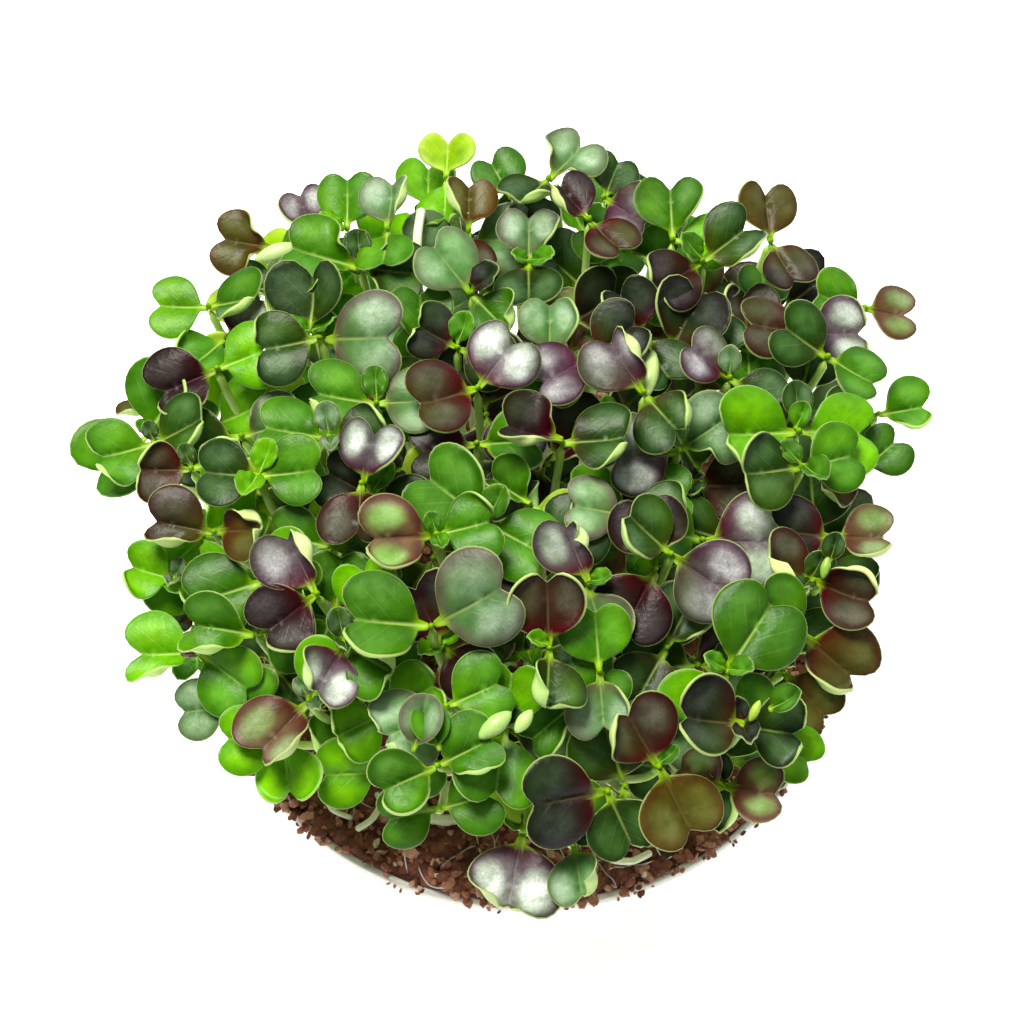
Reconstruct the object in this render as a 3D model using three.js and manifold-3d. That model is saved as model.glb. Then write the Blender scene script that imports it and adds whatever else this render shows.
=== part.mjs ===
// A round tray of pak choi microgreens: a shallow tray, a bed of coir and about
// a hundred seedlings, each a pale stem with two notched seed leaves.
// Millimetres, +Z up. The origin is the centre of the tray's flat underside, and the
// side that the seedlings lean to, where their light came from, is -Y.

import * as THREE from 'three';
import { mergeVertices } from 'three/addons/utils/BufferGeometryUtils.js';
import Module from 'manifold-3d';

const wasm = await Module();
wasm.setup();

// Tray
const TRAY_BASE_RADIUS = 37;
const TRAY_RIM_RADIUS = 48;
const TRAY_HEIGHT = 18;
const TRAY_WALL = 1;
const TRAY_LIP = 1.6;
const TRAY_LIP_DEPTH = 1.8;
const TRAY_LIP_REACH = 0.9;
const TRAY_LIP_ROUND = 0.4;
const TRAY_SIDES = 40;

// Coir bed
const TOUCH_GAP = 0.3;
const COIR_EDGE_RADIUS = 47.1;
const COIR_EDGE_HEIGHT = 18.9;
const COIR_CROWN = 1;
const COIR_BUMP = 0.5;
const COIR_EDGE_WAVES = [
  { size: 0.5, count: 7, phase: 0.6 },
  { size: 0.35, count: 13, phase: 2.1 },
];
const COIR_EDGE_ROUND = 0.7;
const COIR_SIDES = 36;
const COIR_RINGS = 5;
const HOLE_RADIUS = 1.9;
const HOLE_SIDES = 4;
const HOLE_FLOOR = 10;
const HOLE_TOP = 25;

// Stems
const STEM_RADIUS = 0.8;
const STEM_STEPS = 4;
const TWIN_FOOT_RADIUS = 0.45;
const TWIN_FOOT_HEIGHT = 17.6;
const STRAIGHT_TO = 20.9;
const ROOT_HEIGHT = HOLE_FLOOR + TOUCH_GAP;
const ROOT_PULL = 0.72;
const ROOT_LIMIT = 41.5;
const TWIN_REACH = 13;
const KNEE_SHARE = 0.8;
const LOWER_RISE = 0.36;
const UPPER_DROP = 0.38;
const PATH_STEPS = 22;
const BEND_SIZES = [3, 6, 9];

// Seed leaves
const BLADE_THICKNESS = 0.7;
const PETIOLE_SHARE = 0.12;
const STALK_START = 0.7;
const STALK_HALF_WIDTH = 0.5;
const BLADE_ANGLES = [34, 72, 110, 146];
const BLADE_MIDDLE = 0.43;
const BLADE_REACH = 0.83;
const OUTLINE = { broad: 0.45, oval: 0.05, egg: 0.01, notchTurn: 0.42, base: 0.04, baseTurn: 0.35 };
const LIGHT_SLOPE = 0.42;
const OUTWARD_SLOPE = 0.3;
const PITCH_RANGE = [-0.1, 0.4];
const ROLL_RANGE = [-0.32, 0.32];
const NOTCH_RANGE = [0.17, 0.28];
const LOPSIDED_RANGE = [-0.07, 0.07];
const FOLD_RANGE = [-0.04, 0.18];
const BOWL_JITTER = [-0.06, 0.06];
const SECOND_BOWL = [-0.12, 0.1];

// Canopy
const CANOPY_CENTRE = [-2, -2];
const CANOPY_RADIUS = 60;
const CANOPY_TOP = 61;
const SIDE_DROP = 13;
const FRONT_BACK_DROP = 9;
const HEIGHT_STEP = 0.5;
const HEIGHT_SEARCH_UP = 5;
const HEIGHT_SEARCH_DOWN = 14;
const SIDE_STEPS = [1.5, 3, 4.5];
const STEP_TURNS = 8;

// How near leaves and stems may come to one another
const NEIGHBOUR_REACH = 40;
const LEAF_MARGIN = 0.4;
const LEAF_CLEARANCE = 1.15;
const STEM_MARGIN = 0.8;
const STEM_CLEARANCE = 1.5;
const STEM_SIDE_GAP = 2.2;
const STEM_RISE_GAP = 2.5;

// What a place costs: leaves that would cross, stems that would have to pass
// through a leaf or touch, each millimetre away from where the eye, looking
// down from the front, wants it, and each millimetre up or down.
const VIEW_ANGLE = 58;
const CROSSING_COST = 12;
const STEM_COST = 4;
const SHIFT_COST = 1;
const HEIGHT_COST = 0.35;
const STEM_LEAF_HIT = 3;
const STEM_STEM_HIT = 2;

const DEG = Math.PI / 180;

// Leaf colours, as the eye names them.
const TINTS = {
  lime: 0xa9c44a,
  bright: 0x5fa324,
  green: 0x3f7d2a,
  dark: 0x2a4f22,
  black: 0x1f2a1c,
  sage: 0x7f9f74,
  silver: 0xa3a8ac,
  olive: 0x5d6427,
  brown: 0x4c3b28,
  maroon: 0x33211f,
  purple: 0x6d5468,
};

// One row a seedling, in the order in which the eye finds them from the front:
// x, y, lift above the canopy's dome, then for each seed leaf its heading in
// degrees from +X, its width and its colour, and last how far the first leaf
// is cupped (above 0) or turned down at its edge (below 0).
const SEEDLINGS = [
  [39, 7, 3, 188, 13.5, 'bright', 5, 13, 'bright', -0.1],
  [41, 26, 2, 180, 11, 'brown', 8, 11.5, 'silver', -0.1],
  [-7, 12.5, 2, 50, 11.5, 'silver', 205, 12, 'brown', -0.1],
  [-23, -4, 3, 75, 10.5, 'silver', 265, 11, 'brown', -0.15],
  [-13, -26, 2, 20, 14.5, 'sage', 180, 14.5, 'olive', -0.1],
  [3, -29.5, 3, 92, 12.5, 'brown', 268, 11, 'dark', -0.1],
  [18, -43, 1, 130, 12, 'brown', -60, 12.5, 'olive', -0.1],
  [29.5, -37.5, 2, 185, 12.5, 'black', -5, 10.5, 'dark', 0.3],
  [27.5, -31, 3, 55, 14.5, 'green', 225, 12, 'bright', -0.12],
  [18, -16, 1, 100, 11.5, 'maroon', 240, 12, 'maroon', -0.1],
  [20, -15, 3, -30, 12.5, 'purple', 150, 10.5, 'dark', -0.1],
  [25, -11, 0, 0, 14.5, 'sage', 180, 11, 'green', -0.1],
  [22, 3, 1, 195, 12.5, 'silver', 30, 11.5, 'sage', -0.1],
  [5, 2.5, 3, 170, 11, 'maroon', 0, 11.5, 'dark', 0.3],
  [-5.5, -9.5, 1, 150, 14, 'sage', -30, 11.5, 'green', -0.15],
  [-12.5, -10.5, 0, 190, 12.5, 'olive', 10, 10.5, 'green', -0.1],
  [2, -15.5, 1, 215, 13.5, 'maroon', 35, 11.5, 'dark', -0.1],
  [8.5, -20.5, 3, 112, 11.5, 'silver', -70, 10.5, 'sage', 0.25],
  [17, 12, 2, 125, 12, 'purple', -55, 11, 'dark', -0.1],
  [9.5, 19, 1, 210, 11.5, 'purple', 30, 10.5, 'black', -0.1],
  [3.5, 21, -1, 90, 10, 'sage', 270, 10.5, 'green', -0.1],
  [-15.5, 21.5, 0, 90, 10.5, 'green', 270, 11, 'dark', 0.1],
  [-30, 22.5, 2, -10, 14.5, 'sage', 190, 11.5, 'dark', -0.2],
  [-21.5, 11.5, 0, 175, 12, 'green', 0, 10.5, 'sage', -0.1],
  [-24.5, 37.5, 0, 170, 13.5, 'green', -10, 11, 'dark', -0.1],
  [-8, 30.5, 0, 135, 11.5, 'sage', -45, 10.5, 'green', -0.1],
  [0.5, 37, 0, 90, 10.5, 'sage', 270, 10.5, 'dark', -0.1],
  [3.5, 53.5, 0, 50, 11, 'sage', 230, 9.5, 'dark', 0],
  [12, 51, 0, 70, 8.5, 'dark', -40, 10.5, 'purple', 0],
  [9.5, 46, -1, 130, 9, 'maroon', -50, 9.5, 'brown', 0],
  [22, 42, 1, 92, 11, 'bright', -5, 10.5, 'bright', 0.1],
  [37, 45, 0, 95, 10.5, 'olive', -60, 9.5, 'brown', 0],
  [26, 38.5, 0, 35, 11.5, 'dark', 215, 10.5, 'maroon', 0],
  [27.5, 31.5, -1, 120, 10, 'sage', -60, 10.5, 'green', -0.1],
  [24, 26.5, 0, 140, 10.5, 'bright', -40, 10.5, 'dark', -0.1],
  [33, 24, 0, 95, 10.5, 'brown', 270, 10.5, 'green', 0.35],
  [51, 36, -1, 0, 9.5, 'dark', 180, 10, 'green', 0],
  [44, 24, -1, -25, 10, 'green', 155, 10.5, 'dark', 0],
  [52, 16.5, -2, 15, 9.5, 'green', 195, 10, 'dark', 0],
  [49, 5.5, -1, 40, 8.5, 'green', 205, 9, 'olive', 0],
  [43.5, -6.5, -1, 0, 10, 'olive', 180, 10.5, 'black', 0],
  [39, 3, 0, 200, 12, 'dark', 20, 10.5, 'green', -0.1],
  [40, -15.5, 1, -20, 11.5, 'brown', 165, 10.5, 'lime', 0.4],
  [44, -10, -3, -5, 9.5, 'dark', 175, 10, 'green', 0],
  [38.5, -22, 0, -32, 13, 'olive', 150, 11, 'green', -0.1],
  [36, -27, -2, -40, 11, 'olive', 140, 10.5, 'dark', 0],
  [34, -34, -4, -35, 9, 'bright', 145, 9.5, 'green', 0],
  [10, -31, 0, -85, 10.5, 'sage', 95, 10.5, 'green', -0.1],
  [19.5, -26, -1, 240, 11.5, 'dark', 60, 10.5, 'dark', 0],
  [11, -46, 1, 195, 13.5, 'black', -60, 10.5, 'dark', -0.1],
  [-0.5, -50.5, -3, 258, 14, 'silver', 80, 10.5, 'lime', -0.1],
  [6.5, -51, -6, -80, 10, 'sage', 100, 10.5, 'green', 0],
  [-3, -38.5, 0, 262, 13, 'green', 80, 10.5, 'bright', -0.1],
  [6.5, -35, -2, 215, 9.5, 'green', 35, 10, 'green', 0],
  [-10, -42, 0, 200, 10.5, 'dark', 20, 10.5, 'green', 0.3],
  [-11, -45.5, -5, 190, 9.5, 'lime', 10, 10, 'green', 0],
  [-11, -36, 1, 205, 12.5, 'sage', 20, 10.5, 'dark', -0.3],
  [-19.5, -35.5, -2, 205, 9.5, 'bright', 25, 10, 'green', 0],
  [-18, -41, -5, 185, 10.5, 'lime', 5, 10.5, 'green', 0],
  [-28.5, -33.5, 1, 225, 12.5, 'brown', 45, 10.5, 'green', -0.1],
  [-25, -28, 3, -120, 10.5, 'silver', -35, 11, 'lime', 0.25],
  [-21, -22.5, -1, 110, 9.5, 'bright', -70, 10, 'dark', 0.1],
  [-27.5, -11.5, -1, -10, 12, 'sage', 170, 10.5, 'dark', 0],
  [-29, -20, 2, 120, 12, 'brown', 212, 11.5, 'maroon', 0.25],
  [-36.5, -24.5, 1, 170, 12, 'olive', 20, 10.5, 'sage', 0.2],
  [-46, -24, -1, 178, 12, 'olive', -35, 11, 'green', 0],
  [-37, -10.5, -1, 195, 12.5, 'green', 15, 10.5, 'bright', -0.1],
  [-44, -8, 1, 170, 11.5, 'brown', -10, 10.5, 'lime', -0.1],
  [-50, -12, -2, 165, 9, 'lime', -20, 9.5, 'green', 0.2],
  [-54, 9, 0, 195, 11, 'green', 15, 10.5, 'lime', 0.2],
  [-48, 3, 0, 185, 9.5, 'brown', 5, 10, 'green', 0.1],
  [-53, 15, -1, 150, 9, 'olive', -30, 9.5, 'green', 0],
  [-41.5, 8.5, 0, 190, 12.5, 'dark', 10, 10.5, 'sage', 0.1],
  [-45, 19.5, 2, 198, 12, 'maroon', 18, 10.5, 'lime', -0.1],
  [-44.5, 25.5, 1, 45, 10, 'silver', 225, 10.5, 'lime', -0.1],
  [-47, 32, -1, 175, 10, 'bright', -5, 10.5, 'green', 0],
  [-38, 44, -1, 170, 10.5, 'olive', -10, 9.5, 'green', 0],
  [-36, 38.5, -2, 175, 9.5, 'dark', -5, 10, 'lime', 0.2],
  [-27, 46, -1, 90, 10, 'green', 270, 9.5, 'green', 0],
  [-32.5, 48, -3, 110, 8.5, 'purple', 280, 9.5, 'green', 0],
  [-15, 50, -1, 90, 10.5, 'bright', 270, 9.5, 'green', 0],
  [-12, 55, 0, 88, 9, 'lime', 268, 9.5, 'green', 0],
  [-20.5, 41.5, -1, 85, 9.5, 'sage', 265, 9.5, 'green', 0.1],
  [-7.5, 46, -1, 90, 9.5, 'olive', 270, 9.5, 'brown', 0],
  [-2, 53, -2, 120, 9, 'green', -60, 9.5, 'dark', 0],
  [17, 25, -2, 120, 10, 'black', -60, 10.5, 'dark', 0],
  [-28, 7, 0, 175, 11.5, 'green', -5, 10.5, 'dark', -0.1],
  [-34.5, 1, -1, 180, 10, 'dark', 0, 10.5, 'green', 0.2],
  [-26.5, -2, -2, 160, 9.5, 'black', -20, 10, 'dark', 0],
  [-7, 5, 0, 185, 11, 'maroon', 5, 10.5, 'green', -0.1],
  [-3, 0.5, -1, 95, 9.5, 'purple', 275, 10, 'dark', 0],
  [13.5, 0, -1, 180, 10.5, 'bright', 0, 10.5, 'green', -0.1],
  [12, -5, -2, 175, 10, 'sage', -5, 10.5, 'dark', -0.1],
  [0.5, -5.5, 0, 150, 9, 'green', -30, 9.5, 'lime', 0.35],
  [31, -6, -2, -10, 11, 'black', 170, 10.5, 'dark', 0],
  [29.5, 18.5, -2, 150, 9.5, 'purple', -30, 10, 'dark', 0],
  [-34, -36.5, -2, 185, 10, 'green', -80, 10.5, 'green', 0],
  [-10, 22, -2, 160, 9, 'black', -20, 9.5, 'dark', 0],
  [37, 35, -2, 100, 9, 'green', 280, 9.5, 'dark', 0],
  [-41.5, -30, -4, 180, 9, 'sage', 0, 9.5, 'green', 0],
];

// Small vector helpers
const dot = (a, b) => a[0] * b[0] + a[1] * b[1];
const lerp = (a, b, t) => a + (b - a) * t;

function unit(v) {
  const length = Math.hypot(...v);
  return v.map((value) => value / length);
}

function cross(a, b) {
  return [
    a[1] * b[2] - a[2] * b[1],
    a[2] * b[0] - a[0] * b[2],
    a[0] * b[1] - a[1] * b[0],
  ];
}

// A seeded run of draws between 0 and 1, the same each time it is run.
function seededDraws(seed) {
  const modulus = 2147483647;
  let state = (seed * 7919 + 104729) % modulus;
  const draw = () => {
    state = (state * 48271) % modulus;
    return state / modulus;
  };
  draw();
  draw();
  return draw;
}

// The canopy is a low dome that falls away most at the front.
function canopyHeight(x, y) {
  const dx = x - CANOPY_CENTRE[0];
  const dy = y - CANOPY_CENTRE[1];
  const radius = Math.hypot(dx, dy) + 1e-6;
  const drop = SIDE_DROP - FRONT_BACK_DROP * (dy / radius);
  return CANOPY_TOP - drop * (radius / CANOPY_RADIUS) ** 3;
}

// A seed leaf's outline is a radius about its middle: broad, a little longer
// towards the stalk, with a round notch at the tip (angle 0).
function outlineRadius(blade, angle) {
  const turn = Math.abs(angle);
  const side = Math.sin(angle);
  const { broad, oval, egg, notchTurn, base, baseTurn } = OUTLINE;
  const round = broad - oval * Math.cos(2 * angle) + egg * Math.cos(angle);
  const notch = blade.notch * Math.exp(-((turn / notchTurn) ** 2));
  const heel = base * Math.exp(-(((Math.PI - turn) / baseTurn) ** 2));
  return blade.width * (round - notch + heel) * (1 + blade.lopsided * side);
}

// How far the leaf's surface rises from its own plane, at a place u ahead of
// its middle and w to the side of it.
function bladeRise(blade, u, w) {
  const half = blade.width / 2;
  const across = w / half;
  const ahead = u / half;
  const bowl = blade.bowl * (across * across + 0.6 * ahead * ahead);
  const fold = blade.fold * Math.abs(across);
  return half * (bowl + fold);
}

function makeBlade(row, heading, width, bowl, draw) {
  const ahead = [Math.cos(heading * DEG), Math.sin(heading * DEG)];
  const aside = [-ahead[1], ahead[0]];
  const pitch = lerp(...PITCH_RANGE, draw());
  const roll = lerp(...ROLL_RANGE, draw());
  const slope = [0, 1].map((k) => {
    const outward = -OUTWARD_SLOPE * (row[k] - CANOPY_CENTRE[k]) / CANOPY_RADIUS;
    const light = k === 1 ? LIGHT_SLOPE : 0;
    return outward + light + pitch * ahead[k] + roll * aside[k];
  });
  const along = unit([ahead[0], ahead[1], dot(slope, ahead)]);
  const normal = unit([-slope[0], -slope[1], 1]);
  const petiole = PETIOLE_SHARE * width;
  return {
    along,
    normal,
    side: cross(normal, along),
    width,
    petiole,
    middle: petiole + BLADE_MIDDLE * width,
    reach: petiole + BLADE_REACH * width,
    notch: lerp(...NOTCH_RANGE, draw()),
    lopsided: lerp(...LOPSIDED_RANGE, draw()),
    fold: lerp(...FOLD_RANGE, draw()),
    bowl: bowl + lerp(...BOWL_JITTER, draw()),
  };
}

// A place on the leaf, from its own plane to the tray's axes, about the point
// where the two seed leaves join.
function bladePoint(blade, u, w, lift = 0) {
  const rise = bladeRise(blade, u - blade.middle, w) + lift;
  return [0, 1, 2].map((k) => (
    blade.along[k] * u + blade.side[k] * w + blade.normal[k] * rise
  ));
}

function outlinePoint(blade, angle, share, lift = 0) {
  const radius = share * outlineRadius(blade, angle);
  const u = blade.middle + radius * Math.cos(angle);
  return bladePoint(blade, u, radius * Math.sin(angle), lift);
}

// The leaf's height over a place on the plan, or null where it doesn't reach.
function bladeHeightAt(blade, x, y, margin) {
  if (Math.hypot(x, y) > blade.reach + margin) {
    return null;
  }
  const { along, side, normal } = blade;
  const det = along[0] * side[1] - along[1] * side[0];
  const u = (x * side[1] - y * side[0]) / det;
  const w = (along[0] * y - along[1] * x) / det;
  const du = u - blade.middle;
  const onBlade = Math.hypot(du, w) <= outlineRadius(blade, Math.atan2(w, du)) + margin;
  const onStalk = u > -margin && u < blade.middle && Math.abs(w) < STALK_HALF_WIDTH + margin;
  if (!onBlade && !onStalk) {
    return null;
  }
  return along[2] * u + side[2] * w + normal[2] * bladeRise(blade, du, w);
}

// Places spread over the leaf, used to keep leaves clear of one another.
function bladeSamples(blade) {
  const samples = [bladePoint(blade, blade.petiole, 0)];
  samples.push(bladePoint(blade, blade.middle, 0));
  for (let k = 0; k < 12; k += 1) {
    samples.push(outlinePoint(blade, (k - 5.5) * 30 * DEG, 1));
  }
  for (let k = 0; k < 6; k += 1) {
    samples.push(outlinePoint(blade, (k - 2.5) * 60 * DEG, 0.55));
  }
  return samples;
}

function makeSeedling(row, index) {
  const draw = seededDraws(index + 1);
  const [x, y, lift, headingA, widthA, tintA, headingB, widthB, tintB, bowl] = row;
  const bladeA = makeBlade(row, headingA, widthA, bowl, draw);
  const bladeB = makeBlade(row, headingB, widthB, lerp(...SECOND_BOWL, draw()), draw);
  const blades = [bladeA, bladeB];
  return {
    index,
    x,
    y,
    homeHeight: canopyHeight(x, y) + lift,
    lift,
    blades,
    samples: blades.map(bladeSamples),
    headings: [headingA, headingB],
    tints: [tintA, tintB],
    branches: false,
  };
}

// The heights at which one leaf of a seedling would meet one leaf of another:
// the span from the lowest to the highest, or null where they never cross.
function meetingSpan(mover, moverBlade, fixed, fixedBlade) {
  let low = Infinity;
  let high = -Infinity;
  const note = (height) => {
    low = Math.min(low, height);
    high = Math.max(high, height);
  };
  for (const [sx, sy, sz] of mover.samples[moverBlade]) {
    const x = mover.x + sx - fixed.x;
    const y = mover.y + sy - fixed.y;
    const height = bladeHeightAt(fixed.blades[fixedBlade], x, y, LEAF_MARGIN);
    if (height !== null) {
      note(fixed.z + height - sz);
    }
  }
  for (const [sx, sy, sz] of fixed.samples[fixedBlade]) {
    const x = fixed.x + sx - mover.x;
    const y = fixed.y + sy - mover.y;
    const height = bladeHeightAt(mover.blades[moverBlade], x, y, LEAF_MARGIN);
    if (height !== null) {
      note(fixed.z + sz - height);
    }
  }
  return low > high ? null : [low - LEAF_CLEARANCE, high + LEAF_CLEARANCE];
}

// The heights that a seedling's neighbours leave it, each span with its cost.
function heightLimits(mover, settled) {
  const spans = [];
  for (const fixed of settled) {
    if (!near(mover, fixed)) {
      continue;
    }
    for (let a = 0; a < 2; a += 1) {
      for (let b = 0; b < 2; b += 1) {
        const span = meetingSpan(mover, a, fixed, b);
        if (span) {
          spans.push([...span, CROSSING_COST]);
        }
      }
      const dx = mover.x - fixed.x;
      const dy = mover.y - fixed.y;
      const above = bladeHeightAt(fixed.blades[a], dx, dy, STEM_MARGIN);
      if (above !== null) {
        spans.push([fixed.z + above - LEAF_CLEARANCE, Infinity, STEM_COST]);
      }
      const below = bladeHeightAt(mover.blades[a], -dx, -dy, STEM_MARGIN);
      if (below !== null) {
        spans.push([-Infinity, fixed.z - below + LEAF_CLEARANCE, STEM_COST]);
      }
    }
  }
  return spans;
}

// The middle, then rings of places round it.
function ringSteps(sizes) {
  const steps = [[0, 0]];
  for (const size of sizes) {
    for (let k = 0; k < STEP_TURNS; k += 1) {
      const turn = (k / STEP_TURNS) * 2 * Math.PI;
      steps.push([size * Math.cos(turn), size * Math.sin(turn)]);
    }
  }
  return steps;
}

// The best height, and its cost, a step of dx and dy to the side of its home.
function bestHeight(mover, settled, dx, dy) {
  const spans = heightLimits(mover, settled);
  const across = dy * Math.sin(VIEW_ANGLE * DEG);
  const upright = Math.cos(VIEW_ANGLE * DEG);
  const steps = (HEIGHT_SEARCH_UP + HEIGHT_SEARCH_DOWN) / HEIGHT_STEP;
  let best = null;
  for (let k = 0; k <= steps; k += 1) {
    const rise = HEIGHT_SEARCH_UP - k * HEIGHT_STEP;
    const z = mover.homeHeight + rise;
    let cost = SHIFT_COST * Math.hypot(dx, across + rise * upright);
    cost += HEIGHT_COST * Math.abs(rise);
    for (const [low, high, price] of spans) {
      cost += z > low && z < high ? price : 0;
    }
    if (best === null || cost < best.cost - 1e-6) {
      best = { cost, x: mover.x, y: mover.y, z };
    }
  }
  return best;
}

// Seedlings take their places one by one, the tallest first: each where it
// costs least, at its home or a step to one side of it.
function settleSeedlings(seedlings) {
  const order = [...seedlings].sort((a, b) => b.lift - a.lift || a.index - b.index);
  const settled = [];
  for (const mover of order) {
    const home = [mover.x, mover.y];
    let best = null;
    for (const [dx, dy] of ringSteps(SIDE_STEPS)) {
      mover.x = home[0] + dx;
      mover.y = home[1] + dy;
      const place = bestHeight(mover, settled, dx, dy);
      if (best === null || place.cost < best.cost - 1e-6) {
        best = place;
      }
    }
    mover.x = best.x;
    mover.y = best.y;
    mover.z = best.z;
    settled.push(mover);
  }
}

// Two seeds often fall together, so most seedlings share a root place with
// the nearest neighbour that is still alone.
function plantRoots(seedlings) {
  const ideal = seedlings.map((seedling) => rootBelow(seedling.x, seedling.y));
  for (const seedling of seedlings) {
    if (seedling.root) {
      continue;
    }
    let twin = null;
    let nearest = TWIN_REACH;
    for (const other of seedlings) {
      if (other === seedling || other.root) {
        continue;
      }
      const a = ideal[seedling.index];
      const b = ideal[other.index];
      const gap = Math.hypot(a[0] - b[0], a[1] - b[1]);
      if (gap < nearest) {
        nearest = gap;
        twin = other;
      }
    }
    const own = ideal[seedling.index];
    seedling.root = own;
    seedling.twin = twin ? twin.index : -1;
    if (twin) {
      const other = ideal[twin.index];
      seedling.root = [(own[0] + other[0]) / 2, (own[1] + other[1]) / 2];
      twin.root = seedling.root;
      twin.branches = true;
      twin.twin = seedling.index;
    }
  }
}

function rootBelow(x, y) {
  const radius = Math.hypot(x, y) * ROOT_PULL;
  const share = Math.min(1, ROOT_LIMIT / (radius + 1e-6)) * ROOT_PULL;
  return [x * share, y * share];
}

// A stem rises straight from its root and curves over to its leaves. The bend
// moves its upper part sideways, round the leaves of its neighbours.
function stemControls(seedling, bend) {
  const [rx, ry] = seedling.root;
  const rise = seedling.z - STRAIGHT_TO;
  const kneeX = lerp(rx, seedling.x, KNEE_SHARE) + bend[0];
  const kneeY = lerp(ry, seedling.y, KNEE_SHARE) + bend[1];
  return [
    [rx, ry, STRAIGHT_TO],
    [rx, ry, STRAIGHT_TO + LOWER_RISE * rise],
    [kneeX, kneeY, seedling.z - UPPER_DROP * rise],
    [seedling.x, seedling.y, seedling.z],
  ];
}

function bezierPoint(controls, t) {
  const s = 1 - t;
  const shares = [s * s * s, 3 * s * s * t, 3 * s * t * t, t * t * t];
  return [0, 1, 2].map((k) => (
    controls.reduce((sum, point, n) => sum + point[k] * shares[n], 0)
  ));
}

function near(a, b) {
  return Math.hypot(a.x - b.x, a.y - b.y) < NEIGHBOUR_REACH;
}

function stemPath(controls) {
  const path = [];
  for (let k = 1; k < PATH_STEPS - 1; k += 1) {
    path.push(bezierPoint(controls, k / PATH_STEPS));
  }
  return path;
}

function stemConflicts(seedling, path, neighbours) {
  let count = 0;
  for (const other of neighbours) {
    for (const blade of other.blades) {
      const hit = path.some(([x, y, z]) => {
        const height = bladeHeightAt(blade, x - other.x, y - other.y, STEM_MARGIN);
        return height !== null && Math.abs(z - other.z - height) < STEM_CLEARANCE;
      });
      count += hit ? STEM_LEAF_HIT : 0;
    }
    if (other.path && other.index !== seedling.twin) {
      const beside = path.some(([x, y], k) => (
        Math.hypot(x - other.path[k][0], y - other.path[k][1]) < STEM_SIDE_GAP
          && Math.abs(path[k][2] - other.path[k][2]) < STEM_RISE_GAP
      ));
      count += beside ? STEM_STEM_HIT : 0;
    }
  }
  return count;
}

function routeStems(seedlings) {
  const bends = ringSteps(BEND_SIZES);
  for (const seedling of seedlings) {
    const neighbours = seedlings.filter((other) => other !== seedling && near(seedling, other));
    let fewest = Infinity;
    for (const bend of bends) {
      const controls = stemControls(seedling, bend);
      const path = stemPath(controls);
      const conflicts = stemConflicts(seedling, path, neighbours);
      if (conflicts < fewest) {
        fewest = conflicts;
        seedling.controls = controls;
        seedling.path = path;
      }
      if (fewest === 0) {
        break;
      }
    }
  }
}

// Solids: a list of corners and triangles becomes one closed solid.
function solidFrom(points, faces) {
  const geometry = new THREE.BufferGeometry();
  geometry.setAttribute('position', new THREE.Float32BufferAttribute(points.flat(), 3));
  geometry.setIndex(faces.flat());
  return toSolid(geometry);
}

function toSolid(geometry) {
  const bare = geometry.clone();
  bare.deleteAttribute('normal');
  bare.deleteAttribute('uv');
  const merged = mergeVertices(bare, 1e-4);
  return new wasm.Manifold(new wasm.Mesh({
    numProp: 3,
    vertProperties: new Float32Array(merged.attributes.position.array),
    triVerts: new Uint32Array(merged.index.array),
  }));
}

function toGeometry(solid) {
  const mesh = solid.getMesh();
  const geometry = new THREE.BufferGeometry();
  const positions = new Float32Array(mesh.vertProperties);
  geometry.setAttribute('position', new THREE.BufferAttribute(positions, 3));
  geometry.setIndex(new THREE.BufferAttribute(new Uint32Array(mesh.triVerts), 1));
  geometry.computeVertexNormals();
  return geometry;
}

// The blade is a thin slab: a fan of triangles on each face and a rim between,
// left open at its stalk, where it grows out of the seedling's knuckle.
function addBlade(body, blade, origin) {
  const angles = BLADE_ANGLES.map((angle) => angle * DEG);
  const otherSide = [...angles].reverse().map((angle) => -angle);
  const face = (lift) => [
    bladePoint(blade, blade.middle, 0, lift),
    ...[0, ...angles].map((angle) => outlinePoint(blade, angle, 1, lift)),
    ...stalkCorners(blade, lift),
    ...otherSide.map((angle) => outlinePoint(blade, angle, 1, lift)),
  ];
  const count = angles.length * 2 + 4;
  const stalk = angles.length + 2;
  const points = [...face(BLADE_THICKNESS / 2), ...face(-BLADE_THICKNESS / 2)];
  const first = body.points.length;
  points.forEach((point) => body.points.push(point.map((value, k) => value + origin[k])));
  for (let k = 1; k < count; k += 1) {
    const next = k === count - 1 ? 1 : k + 1;
    const triangles = [
      [0, k, next],
      [count, count + next, count + k],
    ];
    if (k !== stalk) {
      triangles.push([k, count + k, count + next], [k, count + next, next]);
    }
    triangles.forEach((corners) => body.faces.push(corners.map((n) => first + n)));
  }
}

// The left and right corners where a leaf's stalk meets the knuckle.
function stalkCorners(blade, lift) {
  return [1, -1].map((side) => bladePoint(blade, STALK_START, side * STALK_HALF_WIDTH, lift));
}

// The stem's four corners turn with the leaves, halfway between their headings.
function cornerAngles(seedling) {
  const [headingA, headingB] = seedling.headings;
  const turn = (headingB - headingA + 720) % 360;
  const first = turn <= 180 ? headingA : headingB;
  const halfway = first + Math.min(turn, 360 - turn) / 2;
  return [-135, -45, 45, 135].map((angle) => (halfway + angle) * DEG);
}

// The knuckle is a small block between the stem and the two stalks.
function knuckleRing(seedling, lift) {
  const origin = [seedling.x, seedling.y, seedling.z];
  const turn = (seedling.headings[1] - seedling.headings[0] + 720) % 360;
  const order = turn <= 180 ? seedling.blades : [...seedling.blades].reverse();
  return order.flatMap((blade) => {
    const [left, right] = stalkCorners(blade, lift);
    return [right, left].map((point) => point.map((value, k) => value + origin[k]));
  });
}

function addRing(body, ring) {
  const first = body.points.length;
  body.points.push(...ring);
  return first;
}

function addWall(body, low, high, sides) {
  for (const n of sides) {
    const next = (n + 1) % 4;
    body.faces.push([low + n, low + next, high + next]);
    body.faces.push([low + n, high + next, high + n]);
  }
}

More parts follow.
